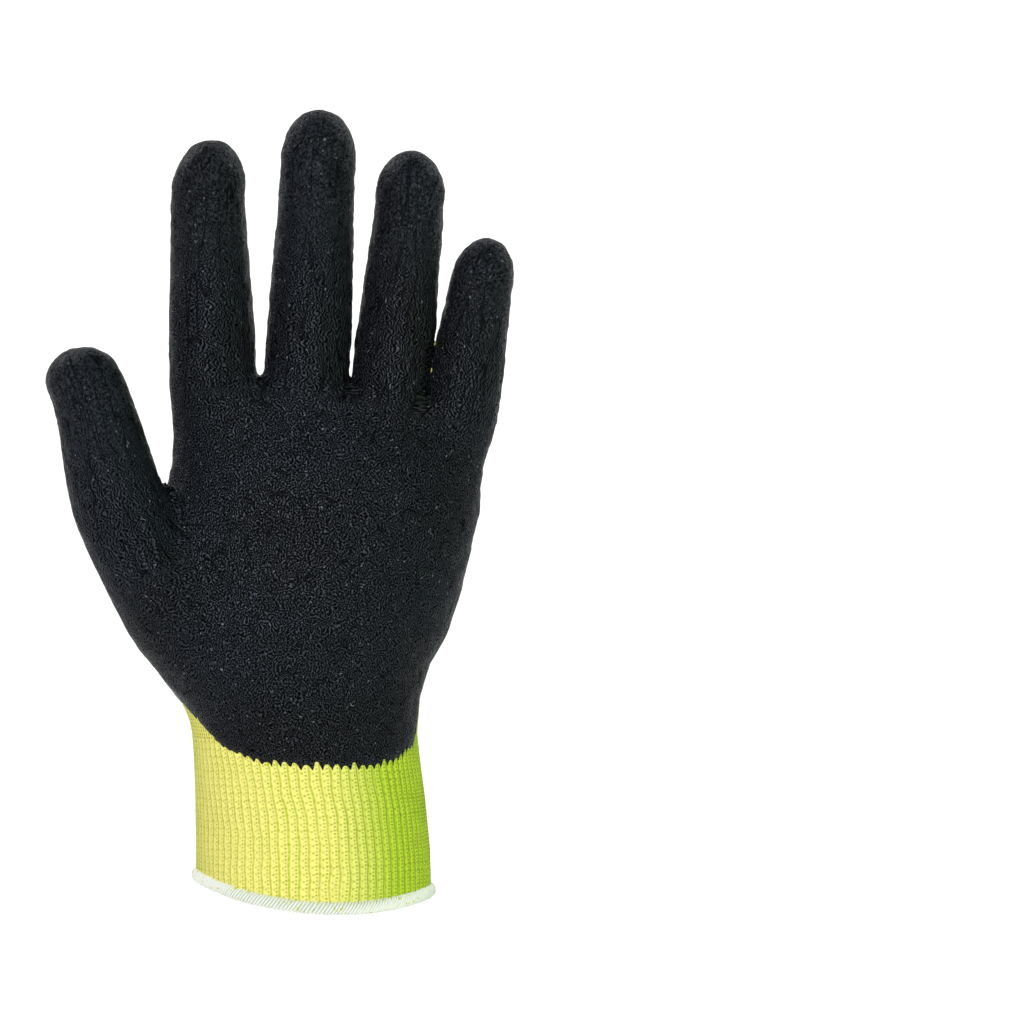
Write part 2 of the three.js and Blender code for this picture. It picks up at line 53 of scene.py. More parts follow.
# The wrist: ribs that are flatter towards the thumb's side, fade at the top and lean round the
# wrist on their way up, and a hem that rises at both sides, tilts across and hangs lower in all
CUFF_LENGTH = 53.0
CUFF_WIDTH = 73.2
CUFF_SHIFT = 0.6
CUFF_DEPTH = 52.0
WRIST_WIDTH = 70.0
WRIST_DEPTH = 47.0
WRIST_SHIFT = -2.2
RIB_COUNT = 78
RIB_FLAT = 0.35
RIB_DEPTH = 0.55
RIB_STEPS = 8
RIB_LEAN = 0.06
RIB_LEAN_FROM = 22.0
RIB_FLAT_ACROSS = (-0.65, 0.1)
RIB_ROUNDNESS = 0.7
RIB_FADE = 0.75
RIB_FADE_LENGTH = 10.0
HEM_HEIGHT = 4.6
HEM_THICKNESS = 4.2
HEM_SEAT = 1.8
HEM_SIDE_RISE = 5.5
HEM_TILT = 2.6
HEM_SAG = 1.0
HEM_WRAPS = 215
WRAP_STEPS = 14
WRAP_YARN = 0.8
WRAP_SLANT = 1.1

# The hand
PALM_LENGTH = 109.0
PALM_WIDTH = 98.0
PALM_SHIFT = 6.9
KNUCKLE_DEPTH = 25.0
KNUCKLE_HEIGHT = CUFF_LENGTH + PALM_LENGTH
FINGER_CURL = 9.0
STALL_FLATNESS = 0.9
THUMB_LENGTH = 120.0
THUMB_WIDTH = 26.0
THENAR_LENGTH = 66.0
THENAR_WIDTH = 33.0

# The latex: where its lower edge lies, how far back it laps round the sides of the hand, and
# where across the hand, and along and beside the thumb, one lap gives way to the next
COAT_START = 44.6
COAT_SIDE_RISE = 15.0
DIP_AT_KNUCKLES = 3.5
DIP_AT_THUMB_SIDE = -0.5
DIP_ON_THUMB = 1.0
DIP_SLANT_ACROSS = 5.4
DIP_SLANT_UP = 6.8
DIP_TO_THUMB_SIDE = (8.0, 34.0)
DIP_ALONG_THUMB = (15.0, 45.0)
DIP_BESIDE_THUMB = (15.0, 21.0)
NO_LATEX = -9.0

# Its edge: the rounding of its corners, the band of finer faces, where the skin is cut off
# outside it, and how far and how often it wanders
EDGE_ROUNDING = 2.0
EDGE_BAND = 1.8
EDGE_CUT = -1.9
EDGE_WANDER = 0.4
WANDER_LENGTH = 2.3

# The ribs poke up into the lower edge as nubs, up to a height and less at the thumb's side
NUB_DEPTH = 1.05
NUB_BASE = 0.4
NUB_FACES_TO = 70.0
NUB_FADE_UP = (60.0, 72.0)
NUB_FADE_ACROSS = (-28.0, -12.0)
NUB_LEAST = 0.35

# How far the latex stands out of the knit on its way in from its edge, the depth and length of
# the waves in its surface and of the folds on the stalls, and how far it sinks into the knit
EDGE_PROFILE = [
    (-2.0, -0.5),
    (-0.9, -0.3),
    (0.0, 0.0),
    (0.5, 0.5),
    (2.0, 0.8),
    (8.0, LATEX_THICKNESS),
]
SWELLS = ((0.32, 3.9), (0.24, 1.9))
FOLD_DEPTH = 0.25
FOLD_LENGTH = 2.4
LATEX_SUNK = 0.6
LATEX_WALL = 2.0

# The cuff from the hem to the wrist and the palm from the wrist to the knuckles. The sides are
# shares of the way from the lower end's own to the upper end's; square is the corners' exponent.
SECTION = ("up", "thumb_side", "little_side", "front", "back", "square")
CUFF_ROWS = [
    (0.0, 0.0, 0.0, 0.0, 0.0, 2.1),
    (0.3, 0.05, 0.1, 0.25, 0.25, 2.1),
    (0.62, 0.2, 0.45, 0.65, 0.7, 2.1),
    (0.84, 0.5, 0.8, 0.9, 0.95, 2.15),
]
PALM_ROWS = [
    (0.0, 0.0, 0.0, 0.0, 0.0, 2.2),
    (0.11, 0.35, 0.04, -0.05, 0.12, 2.2),
    (0.2, 0.7, 0.155, -0.12, 0.25, 2.25),
    (0.285, 0.92, 0.375, -0.16, 0.37, 2.3),
    (0.4, 1.3, 0.55, -0.12, 0.48, 2.35),
    (0.52, 1.77, 0.68, 0.04, 0.58, 2.4),
    (0.63, 1.6, 0.785, 0.24, 0.67, 2.5),
    (0.78, 1.1, 0.825, 0.54, 0.8, 2.6),
    (0.92, 1.0, 0.885, 1.0, 0.98, 2.7),
    (0.98, 0.97, 0.93, 1.14, 1.12, 2.7),
]

# The fingers: root place across and drop under the knuckle line as shares of the palm, lean and
# turn in degrees, tip as a share of the width; arch, bare and lap say where the latex ends on the
# back; skew is how far the tip leans to the little finger's side.
FINGER = (
    "length",
    "width",
    "across",
    "drop",
    "lean",
    "turn",
    "tip",
    "arch",
    "bare",
    "lap",
    "skew",
)
FINGERS = {
    "index": (74.0, 25.4, -0.385, 0.0, -1.5, -14, 0.81, 0.21, 0.86, 0.2, 1.5),
    "middle": (84.6, 24.3, -0.089, 0.01, 3.1, 0, 0.86, 0.15, 0.58, 0.1, 0.0),
    "ring": (75.6, 22.9, 0.174, 0.04, 6.1, 18, 0.85, 0.18, 0.78, 0.2, -0.5),
    "little": (54.4, 21.9, 0.397, 0.09, 9.5, 26, 0.8, 0.24, 0.7, 0.42, 0.4),
}
FINGER_DOME = 0.56
FINGER_ROOT = 0.2
ROOT_NARROWING = 0.8
STALL_TAPER = (0.1, 0.85)
LEAST_END = 0.05

# The thumb and the ball of the thumb, along their axes: width and depth are shares of the width.
THUMB = {"across": -0.279, "up": 0.124, "behind": -4, "pitch": 8, "turn": -15, "dip_turn": -46}
THUMB_BACK = {"arch": 0.145, "bare": 0.2, "lap": 0.74, "web": 0.54}
THUMB_DOME = 0.33
THUMB_SKEW = -1.7
THUMB_ROWS = [
    (0.0, 46, 1.12, 1.1),
    (0.1, 43, 1.16, 1.16),
    (0.3, 35, 1.15, 1.18),
    (0.45, 27, 1.05, 1.08),
    (0.57, 19, 1.06, 1.0),
    (0.68, 13, 0.99, 0.92),
    (0.8, 13, 0.88, 0.84),
    (1.0, 26, 0.74, 0.72),
]
THENAR = {"across": -0.19, "up": 0.1, "behind": -6, "lean": 30, "dome": 0.36}
THENAR_ROWS = [(0.0, 0.84, 0.8), (0.3, 1.0, 0.94), (0.6, 0.84, 0.76), (0.82, 0.66, 0.6)]

# The coat's lower edge: across in half wrist widths, rise in shares of the rise at the sides.
COAT_EDGE = [
    (-1.11, 1.33),
    (-0.97, 1.01),
    (-0.83, 0.64),
    (-0.69, 0.37),
    (-0.4, 0.1),
    (-0.04, 0.03),
    (0.6, 0.0),
    (0.81, 0.12),
    (0.95, 0.39),
    (1.03, 0.9),
]

# How far the parts of the hand run into each other
FINGER_FILLET = 4.0
SACK_FILLET = 7.0
CROTCH_RISE = 1.4
THUMB_FILLET = 7.0
BALL_FILLET = 12.0

# The latex between two fingers: its size at the crotch, how high it climbs and how it narrows on
# the way, and how far back it reaches at the crotch and more on the way up
WEB_DIP = 5.0
WEB_CLIMB = 24.0
WEB_NARROWING = 0.1
WEB_BACK = 5.0
WEB_BACKING = 0.35

# The latex in the crook of the thumb: its middle across and up, its radius, how far back it goes
THUMB_POCKET = (-50.8, 123.8, 7.2, 14.0)
THUMB_WEB_ROUNDING = 7.0

# The loops of the knit, and where along a finger and the thumb its own loops and creases begin
WALE = 1.55
COURSE = 1.1
FINGER_GRAIN_FROM = (-14.0, 8.0)
THUMB_GRAIN_FROM = (34.0, 62.0)


def between(low, high, share):
    """The value at a share of the way from low to high."""
    return low + (high - low) * share


def smooth_step(value, low, high):
    """0 up to low and 1 from high on, with an even S between them."""
    share = np.clip((value - low) / (high - low), 0.0, 1.0)
    return share * share * (3.0 - 2.0 * share)


def joined(a, b, fillet):
    """The union of two distance fields with a fillet of that size in the corner."""
    near = np.maximum(fillet - np.abs(a - b), 0.0) / fillet
    return np.minimum(a, b) - near * near * fillet / 4.0


def common(a, b, fillet):
    """The common part of two distance fields with its edge rounded by that size."""
    return -joined(-a, -b, fillet)


# The hand as distance fields, in millimetres: negative inside the knit


def sections():
    """The rows of the cuff and palm as columns over their height."""

    def extents(shift, width, depth):
        return (shift - width / 2, shift + width / 2, -depth / 2, depth / 2)

    hem = extents(CUFF_SHIFT, CUFF_WIDTH, CUFF_DEPTH)
    wrist = extents(WRIST_SHIFT, WRIST_WIDTH, WRIST_DEPTH)
    knuckles = extents(PALM_SHIFT, PALM_WIDTH, KNUCKLE_DEPTH)
    rows = []
    for low, high, start, length, table in (
        (hem, wrist, 0.0, CUFF_LENGTH, CUFF_ROWS),
        (wrist, knuckles, CUFF_LENGTH, PALM_LENGTH, PALM_ROWS),
    ):
        for up, *sides, square in table:
            sides = [between(a, b, share) for a, b, share in zip(low, high, sides)]
            rows.append((start + up * length, *sides, square))
    return dict(zip(SECTION, np.array(rows).T))


SECTIONS = sections()


def section_at(height, in_front):
    """The section at a height: its middle, half width, half depth on that face and squareness."""
    row = {name: np.interp(height, SECTIONS["up"], column) for name, column in SECTIONS.items()}
    middle = (row["thumb_side"] + row["little_side"]) / 2
    half = (row["little_side"] - row["thumb_side"]) / 2
    deep = np.where(in_front, -row["front"], row["back"])
    return middle, half, deep, row["square"]


def outline_at(height, turns, offset=0.0):
    """The outline of the section at a height, that much outside the knit."""
    c, s = np.cos(turns), np.sin(turns)
    middle, half, deep, square = section_at(height, s < 0)
    power = 2 / square
    x = middle + (half + offset) * np.sign(c) * np.abs(c) ** power
    y = (deep + offset) * np.sign(s) * np.abs(s) ** power
    return x, y


def finger(name):
    """A finger's row of the table by the names of its columns."""
    return dict(zip(FINGER, FINGERS[name]))


def knuckle_drop(x, height):
    """How far the knuckle line lies under its highest place at x, less towards the wrist."""
    across = [finger(name)["across"] for name in FINGERS]
    drops = [finger(name)["drop"] for name in FINGERS]
    share = (x - PALM_SHIFT) / PALM_WIDTH
    drop = np.interp(share, across + [0.46], drops + [0.107])
    follow = smooth_step((height - CUFF_LENGTH) / PALM_LENGTH, 0.55, 0.98)
    return drop * PALM_LENGTH * follow


def palm_height(x, z):
    """The height of the section that a point belongs to, with the knuckle line's drop undone."""
    height = z.copy()
    for _ in range(3):
        height = z + knuckle_drop(x, height)
    return height


def sack_distance(p):
    """The cuff and palm: rounded sections that end between the fingers."""
    x, y, z = p.T
    height = palm_height(x, z)
    middle, half, deep, square = section_at(height, y < 0)
    u = np.abs(x - middle) / half + 1e-6
    v = np.abs(y) / deep + 1e-6
    size = (u**square + v**square) ** (1 / square)
    slope = size ** (1 - square) * np.hypot(u ** (square - 1) / half, v ** (square - 1) / deep)
    side = (size - 1.0) / np.maximum(slope, 1e-4)
    top = height - KNUCKLE_HEIGHT - CROTCH_RISE
    return common(side, top, SACK_FILLET)


def oval(side, back, past, half_width, half_depth, dome):
    """The distance to an oval stall with an oval end."""
    u, v, w = side / half_width, back / half_depth, past / dome
    size = np.sqrt(u**2 + v**2 + w**2) + 1e-6
    slope = (
        np.sqrt(
            (side / half_width**2) ** 2 + (back / half_depth**2) ** 2 + (past / dome**2) ** 2
        )
        / size
    )
    return (size - 1.0) / np.maximum(slope, 0.02)


def finger_place(f, p):
    """Points as distances along a finger from its root, to its side and out of its back."""
    lean = math.radians(f["lean"])
    root = np.array(
        [PALM_SHIFT + f["across"] * PALM_WIDTH, 0.0, KNUCKLE_HEIGHT - f["drop"] * PALM_LENGTH]
    )
    rest = p - root
    along = rest[:, 0] * math.sin(lean) + rest[:, 2] * math.cos(lean)
    across = rest[:, 0] * math.cos(lean) - rest[:, 2] * math.sin(lean)
    across = across - f["skew"] * smooth_step(along / f["length"], 0.72, 1.0)
    reach = np.maximum(along, 0.0)
    curl = math.radians(FINGER_CURL) * reach / f["length"]
    out = rest[:, 1] + reach * np.sin(curl / 2)
    turn = math.radians(f["turn"])
    side = across * math.cos(turn) - out * math.sin(turn)
    back = across * math.sin(turn) + out * math.cos(turn)
    return along, side, back


def finger_distance(f, p):
    """The distance to a finger's stall."""
    along, side, back = finger_place(f, p)
    dome = f["width"] * FINGER_DOME
    taper = 1 - (1 - f["tip"]) * smooth_step(along / f["length"], *STALL_TAPER)
    taper = taper * np.interp(along / f["length"], [-FINGER_ROOT, 0.0], [ROOT_NARROWING, 1.0])
    half_width = f["width"] / 2 * taper
    past = np.maximum(along - (f["length"] - dome), 0.0)
    under = np.maximum(-along - FINGER_ROOT * f["length"] * 0.5, 0.0)
    return oval(side, back, past + under, half_width, half_width * STALL_FLATNESS, dome)


def thumb_line():
    """The thumb's axis, a point for each millimetre, with its directions."""
    pitch = math.radians(THUMB["pitch"])
    rows = np.array(THUMB_ROWS)
    along = np.arange(0.0, THUMB_LENGTH + 20.0)
    lean = np.radians(np.interp(along / THUMB_LENGTH, rows[:, 0], rows[:, 1]))
    aim = np.stack(
        [
            -np.sin(lean) * math.cos(pitch),
            np.full_like(lean, -math.sin(pitch)),
            np.cos(lean) * math.cos(pitch),
        ],
        axis=1,
    )
    root = np.array(
        [
            PALM_SHIFT + THUMB["across"] * PALM_WIDTH,
            THUMB["behind"],
            CUFF_LENGTH + THUMB["up"] * PALM_LENGTH,
        ]
    )
    steps = (aim[1:] + aim[:-1]) / 2
    at = root + np.vstack([np.zeros(3), np.cumsum(steps, axis=0)])
    return along, at, aim


THUMB_ALONG, THUMB_AT, THUMB_AIM = thumb_line()


def across_axis(aim, turn):
    """The directions across each axis direction: out of the back, turned, and to the side."""
    backs, sides = [], []
    for direction in aim:
        along = Vector(direction)
        back = Matrix.Rotation(-math.radians(turn), 3, along) @ Vector((0.0, 1.0, 0.0))
        back = (back - along * back.dot(along)).normalized()
        backs.append(back)
        sides.append(back.cross(along))
    return np.array(backs), np.array(sides)


THUMB_FRAMES = {
    turn: across_axis(THUMB_AIM, turn) for turn in (THUMB["turn"], THUMB["dip_turn"])
}


def thumb_place(p, turn):
    """Points as distances along the thumb, to its side and out of its back."""
    nearest = np.empty(len(p), int)
    for start in range(0, len(p), 20000):
        part = p[start : start + 20000]
        gaps = ((part[:, None, :] - THUMB_AT[None, :, :]) ** 2).sum(axis=2)
        nearest[start : start + 20000] = gaps.argmin(axis=1)
    rest = p - THUMB_AT[nearest]
    backs, sides = THUMB_FRAMES[turn]
    along = THUMB_ALONG[nearest] + (rest * THUMB_AIM[nearest]).sum(axis=1)
    return along, (rest * sides[nearest]).sum(axis=1), (rest * backs[nearest]).sum(axis=1)


def thumb_distance(p):
    """The distance to the thumb's stall, or far off for points that aren't near it."""
    far = np.full(len(p), 60.0)
    near = (p[:, 0] < 5.0) & (p[:, 2] > 45.0)
    if near.any():
        along, side, back = thumb_place(p[near], THUMB["turn"])
        rows = np.array(THUMB_ROWS)
        share = along / THUMB_LENGTH
        dome = THUMB_WIDTH * THUMB_DOME
        half_width = THUMB_WIDTH / 2 * np.interp(share, rows[:, 0], rows[:, 2])
        half_depth = THUMB_WIDTH / 2 * np.interp(share, rows[:, 0], rows[:, 3])
        past = np.maximum(along - (THUMB_LENGTH - dome), 0.0)
        side = side - THUMB_SKEW * smooth_step(share, 0.9, 1.03)
        under = np.maximum(-along, 0.0)
        far[near] = oval(side, back, past + under, half_width, half_depth, dome)
    return far


def ball_distance(p):
    """The ball of the thumb, between the thumb and the palm."""
    lean = math.radians(THENAR["lean"])
    root = np.array(
        [
            PALM_SHIFT + THENAR["across"] * PALM_WIDTH,
            THENAR["behind"],
            CUFF_LENGTH + THENAR["up"] * PALM_LENGTH,
        ]
    )
    rest = p - root
    along = -rest[:, 0] * math.sin(lean) + rest[:, 2] * math.cos(lean)
    side = rest[:, 0] * math.cos(lean) + rest[:, 2] * math.sin(lean)
    rows = np.array(THENAR_ROWS)
    dome = THENAR_WIDTH * THENAR["dome"]
    share = along / THENAR_LENGTH
    half_width = THENAR_WIDTH / 2 * np.interp(share, rows[:, 0], rows[:, 1])
    half_depth = THENAR_WIDTH / 2 * np.interp(share, rows[:, 0], rows[:, 2])
    past = np.maximum(along - (THENAR_LENGTH - dome), 0.0) + np.maximum(-along, 0.0)
    return oval(side, rest[:, 1], past, half_width, half_depth, dome)


def hand_distance(p):
    """The distance of points to the outside of the knit."""
    palm = joined(sack_distance(p), ball_distance(p), BALL_FILLET)
    palm = joined(palm, thumb_distance(p), THUMB_FILLET)
    stalls = np.min([finger_distance(finger(name), p) for name in FINGERS], axis=0)
    return joined(palm, stalls, FINGER_FILLET)


def outward(p):
    """The direction out of the hand at points near its surface, by small differences."""
    step = 0.05
    here = hand_distance(p)
    slope = np.stack(
        [(hand_distance(p + step * axis) - here) / step for axis in np.eye(3)], axis=1
    )
    return slope, here


def settled(p, rounds=5):
    """Points moved on to the outside of the knit, with the directions out of it."""
    p = p.copy()
    for _ in range(rounds):
        slope, here = outward(p)
        p -= slope * (np.clip(here, -1.5, 1.5) / (slope**2).sum(axis=1))[:, None]
    slope, _ = outward(p)
    return p, slope / np.linalg.norm(slope, axis=1)[:, None]


# Where the glove was dipped: positive inside the latex's edge, in millimetres


def stall_dip(along, side, back, length, half_width, half_depth, marks):
    """How far points lie inside the latex of one stall."""
    lap = half_depth * marks["lap"]
    reach = length * (marks["bare"] - marks["arch"])
    up = np.maximum(along - length * (1 - marks["bare"]), 0.0) / reach
    line = lap + (half_depth - lap) * up * up
    inside = (line - back) / np.hypot(1.0, 2.0 * (half_depth - lap) * up / reach)
    return np.where(np.abs(side) < 1.5 * half_width, inside, NO_LATEX)


def dip_depth(p):
    """How far points lie inside the edge of the latex: the palm's side of a slanting plane above
    the lower edge, the stalls, the crotches between the fingers and the crook of the thumb."""
    x, y, z = p.T
    edge = np.array(COAT_EDGE)
    edge_x = WRIST_SHIFT + edge[:, 0] * WRIST_WIDTH / 2
    edge_z = COAT_START + edge[:, 1] * COAT_SIDE_RISE
    line = np.interp(x, edge_x, edge_z) + np.maximum(edge_x[0] - x, 0.0)
    slope = np.gradient(np.interp(np.linspace(-50, 50, 201), edge_x, edge_z), 0.5)
    tilt = np.interp(x, np.linspace(-50, 50, 201), slope)
    above = (z - line) / np.hypot(1.0, tilt)
    plane = (
        DIP_AT_KNUCKLES
        + math.tan(math.radians(DIP_SLANT_ACROSS)) * x
        + math.tan(math.radians(DIP_SLANT_UP)) * (z - KNUCKLE_HEIGHT)
    )
    along, side, back = thumb_place(p, THUMB["turn"])
    beside_thumb = smooth_step(np.abs(side), *DIP_BESIDE_THUMB)
    on_thumb = smooth_step(along, *DIP_ALONG_THUMB) * (1.0 - beside_thumb)
    beside = between(DIP_AT_THUMB_SIDE - y, DIP_ON_THUMB - back, on_thumb)
    depth = between(plane - y, beside, smooth_step(-x, *DIP_TO_THUMB_SIDE))
    depth = joined(depth, above, EDGE_ROUNDING)
    for name in FINGERS:
        f = finger(name)
        along, side, back = finger_place(f, p)
        half = f["width"] / 2
        stall = stall_dip(along, side, back, f["length"], half, half * STALL_FLATNESS, f)
        stall = np.where(along > -FINGER_ROOT * f["length"], stall, NO_LATEX)
        depth = np.maximum(depth, stall)
    for one, other in zip(list(FINGERS), list(FINGERS)[1:]):
        a, b = finger(one), finger(other)
        lean = math.radians((a["lean"] + b["lean"]) / 2)
        crotch_x = PALM_SHIFT + (a["across"] + b["across"]) / 2 * PALM_WIDTH
        crotch_z = KNUCKLE_HEIGHT - (a["drop"] + b["drop"]) / 2 * PALM_LENGTH
        up = np.clip(z - crotch_z, 0.0, WEB_CLIMB)
        aside = np.hypot(x - crotch_x - up * math.tan(lean), z - crotch_z - up)
        across_web = WEB_DIP - WEB_NARROWING * up - aside
        web_dip = np.minimum(across_web, WEB_BACK + WEB_BACKING * up - y)
        depth = np.maximum(depth, web_dip)
    rows = np.array(THUMB_ROWS)
    web = THUMB_BACK["web"]
    half_width = THUMB_WIDTH / 2 * np.interp(web, rows[:, 0], rows[:, 2])
    half_depth = THUMB_WIDTH / 2 * np.interp(web, rows[:, 0], rows[:, 3])
    along, side, back = thumb_place(p, THUMB["dip_turn"])
    stall = stall_dip(along, side, back, THUMB_LENGTH, half_width, half_depth, THUMB_BACK)
    stall = joined(stall, along - web * THUMB_LENGTH, THUMB_WEB_ROUNDING)
    pocket_x, pocket_z, pocket_size, pocket_back = THUMB_POCKET
    pocket = np.minimum(pocket_size - np.hypot(x - pocket_x, z - pocket_z), pocket_back - y)
    return np.maximum(depth, np.where(x < 0.0, np.maximum(stall, pocket), NO_LATEX))


# Making meshes


def new_piece(name, bm, nodes, material):
    """A visible piece of the glove in place of its CAD nodes."""
    mesh = bpy.data.meshes.new(name)
    bm.to_mesh(mesh)
    bm.free()
    piece = bpy.data.objects.new(name, mesh)
    bpy.context.scene.collection.objects.link(piece)
    mesh.materials.append(material)
    mesh.shade_smooth()
    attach(piece, "root")
    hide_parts(*nodes)
    return piece


def add_ring(bm, places, before=None):
    """A ring of the lofted form through places, joined to the ring before it."""
    made = bmesh.ops.create_circle(bm, segments=len(places), radius=1.0)["verts"]
    for vert, place in zip(made, places):
        vert.co = Vector(place) * MM
    edges = list({e for v in made for e in v.link_edges})
    if before:
        bmesh.ops.bridge_loops(bm, edges=before + edges)
    return edges


def loft(bm, rings, endless=False):
    """A form through rings of places, with its two ends filled or joined to each other."""
    before = first = None
    for ring in rings:
        edges = add_ring(bm, ring, before)
        first = first or edges
        before = edges
    if endless:
        bmesh.ops.bridge_loops(bm, edges=first + before)
    else:
        bmesh.ops.holes_fill(bm, edges=first, sides=0)
        bmesh.ops.holes_fill(bm, edges=before, sides=0)


def stall_end(past, dome):
    """How wide a stall still is at a distance past the start of its domed end, as a share."""
    share = past / dome
    return math.sqrt(max(1 - share * share, LEAST_END))


def helper(name, data):
    """An object that only lends its final mesh."""
    made = bpy.data.objects.new(name, data)
    bpy.context.scene.collection.objects.link(made)
    return made


def final_mesh(lender):
    """The final mesh of a helper object as a bmesh; the helper goes."""
    mesh = bpy.data.meshes.new_from_object(
        lender.evaluated_get(bpy.context.evaluated_depsgraph_get())
    )
    bpy.data.objects.remove(lender)
    bm = bmesh.new()
    bm.from_mesh(mesh)
    bpy.data.meshes.remove(mesh)
    return bm


def rough_hand(from_height):
    """The hand as overlapping closed forms, before they are melted into one skin."""
    bm = bmesh.new()
    turns = np.linspace(0, 2 * math.pi, 28, endpoint=False)
    rings = []
    heights = [from_height] + [h for h in SECTIONS["up"] if h > from_height + 1]
    for height in heights:
        x, y = outline_at(height, turns)
        rings.append(np.stack([x, y, height - knuckle_drop(x, height)], axis=1))
    loft(bm, rings)
    turns = np.linspace(0, 2 * math.pi, 16, endpoint=False)
    for name in FINGERS:
        f = finger(name)
        lean = math.radians(f["lean"])
        rings = []
        for share in (-0.2, 0.0, 0.3, 0.6, 0.8, 0.93, 0.985):
            along = share * f["length"]
            dome = f["width"] * FINGER_DOME
            half = f["width"] / 2 * stall_end(max(along - (f["length"] - dome), 0.0), dome)
            half *= 1 - (1 - f["tip"]) * smooth_step(share, *STALL_TAPER)
            curl = math.radians(FINGER_CURL) * max(share, 0.0)
            x = PALM_SHIFT + f["across"] * PALM_WIDTH + along * math.sin(lean)
            z = KNUCKLE_HEIGHT - f["drop"] * PALM_LENGTH + along * math.cos(lean)
            out = -max(along, 0.0) * math.sin(curl / 2)
            side = half * np.cos(turns)
            rings.append(
                np.stack(
                    [
                        x + side * math.cos(lean),
                        out + half * STALL_FLATNESS * np.sin(turns),
                        z - side * math.sin(lean),
                    ],
                    axis=1,
                )
            )
        loft(bm, rings)
    rows = np.array(THUMB_ROWS)
    backs, sides = THUMB_FRAMES[THUMB["turn"]]
    rings = []
    for share in (0.0, 0.1, 0.3, 0.45, 0.57, 0.68, 0.8, 0.92, 0.97, 0.99):
        at = int(round(share * THUMB_LENGTH))
        dome = THUMB_WIDTH * THUMB_DOME
        half = THUMB_WIDTH / 2 * stall_end(max(at - (THUMB_LENGTH - dome), 0.0), dome)
        wide = half * np.interp(share, rows[:, 0], rows[:, 2])
        deep = half * np.interp(share, rows[:, 0], rows[:, 3])
        rings.append(
            THUMB_AT[at]
            + np.outer(np.cos(turns) * wide, sides[at])
            + np.outer(np.sin(turns) * deep, backs[at])
        )
    loft(bm, rings)
    lean = math.radians(THENAR["lean"])
    rows = np.array(THENAR_ROWS)
    dome = THENAR_WIDTH * THENAR["dome"]
    rings = []
    for share in (0.0, 0.3, 0.6, 0.82, 0.95):
        along = share * THENAR_LENGTH
        half = THENAR_WIDTH / 2 * stall_end(max(along - (THENAR_LENGTH - dome), 0.0), dome)
        wide = half * np.interp(share, rows[:, 0], rows[:, 1])
        deep = half * np.interp(share, rows[:, 0], rows[:, 2])
        x = PALM_SHIFT + THENAR["across"] * PALM_WIDTH - along * math.sin(lean)
        z = CUFF_LENGTH + THENAR["up"] * PALM_LENGTH + along * math.cos(lean)
        rings.append(
            np.stack(
                [
                    x + wide * np.cos(turns) * math.cos(lean),
                    THENAR["behind"] + deep * np.sin(turns),
                    z + wide * np.cos(turns) * math.sin(lean),
                ],
                axis=1,
            )
        )
    loft(bm, rings)
    bmesh.ops.recalc_face_normals(bm, faces=bm.faces)
    return bm


def melted(bm, voxel):
    """The forms as one skin of even small faces, as a bmesh."""
    mesh = bpy.data.meshes.new("rough_hand")
    bm.to_mesh(mesh)
    bm.free()
    rough = helper("rough_hand", mesh)
    remesh = rough.modifiers.new("skin", "REMESH")
    remesh.mode = "VOXEL"
    remesh.voxel_size = voxel * MM
    skin = final_mesh(rough)
    bpy.data.meshes.remove(mesh)
    return skin


def places(bm):
    """The places of a form's vertices, in millimetres."""
    return np.array([v.co for v in bm.verts]) / MM


def place_verts(bm, p):
    """Moves a form's vertices to places in millimetres."""
    for vert, at in zip(bm.verts, p):
        vert.co = Vector(at) * MM


def write_values(mesh, name, values):
    """A number for each vertex that a material can read."""
    kind = "FLOAT_VECTOR" if values.ndim == 2 else "FLOAT"
    layer = mesh.attributes.new(name, kind, "POINT")
    field = "vector" if values.ndim == 2 else "value"
    layer.data.foreach_set(field, values.astype(np.float32).ravel())


def ripples(p, wavelength, seed):
    """Soft noise at points, about -1 to 1."""
    shift = Vector((seed * 17.3, seed * 5.1, seed * 9.7))
    return np.array([noise.noise(Vector(at) / wavelength + shift) for at in p])


# Coordinates that run with the knit


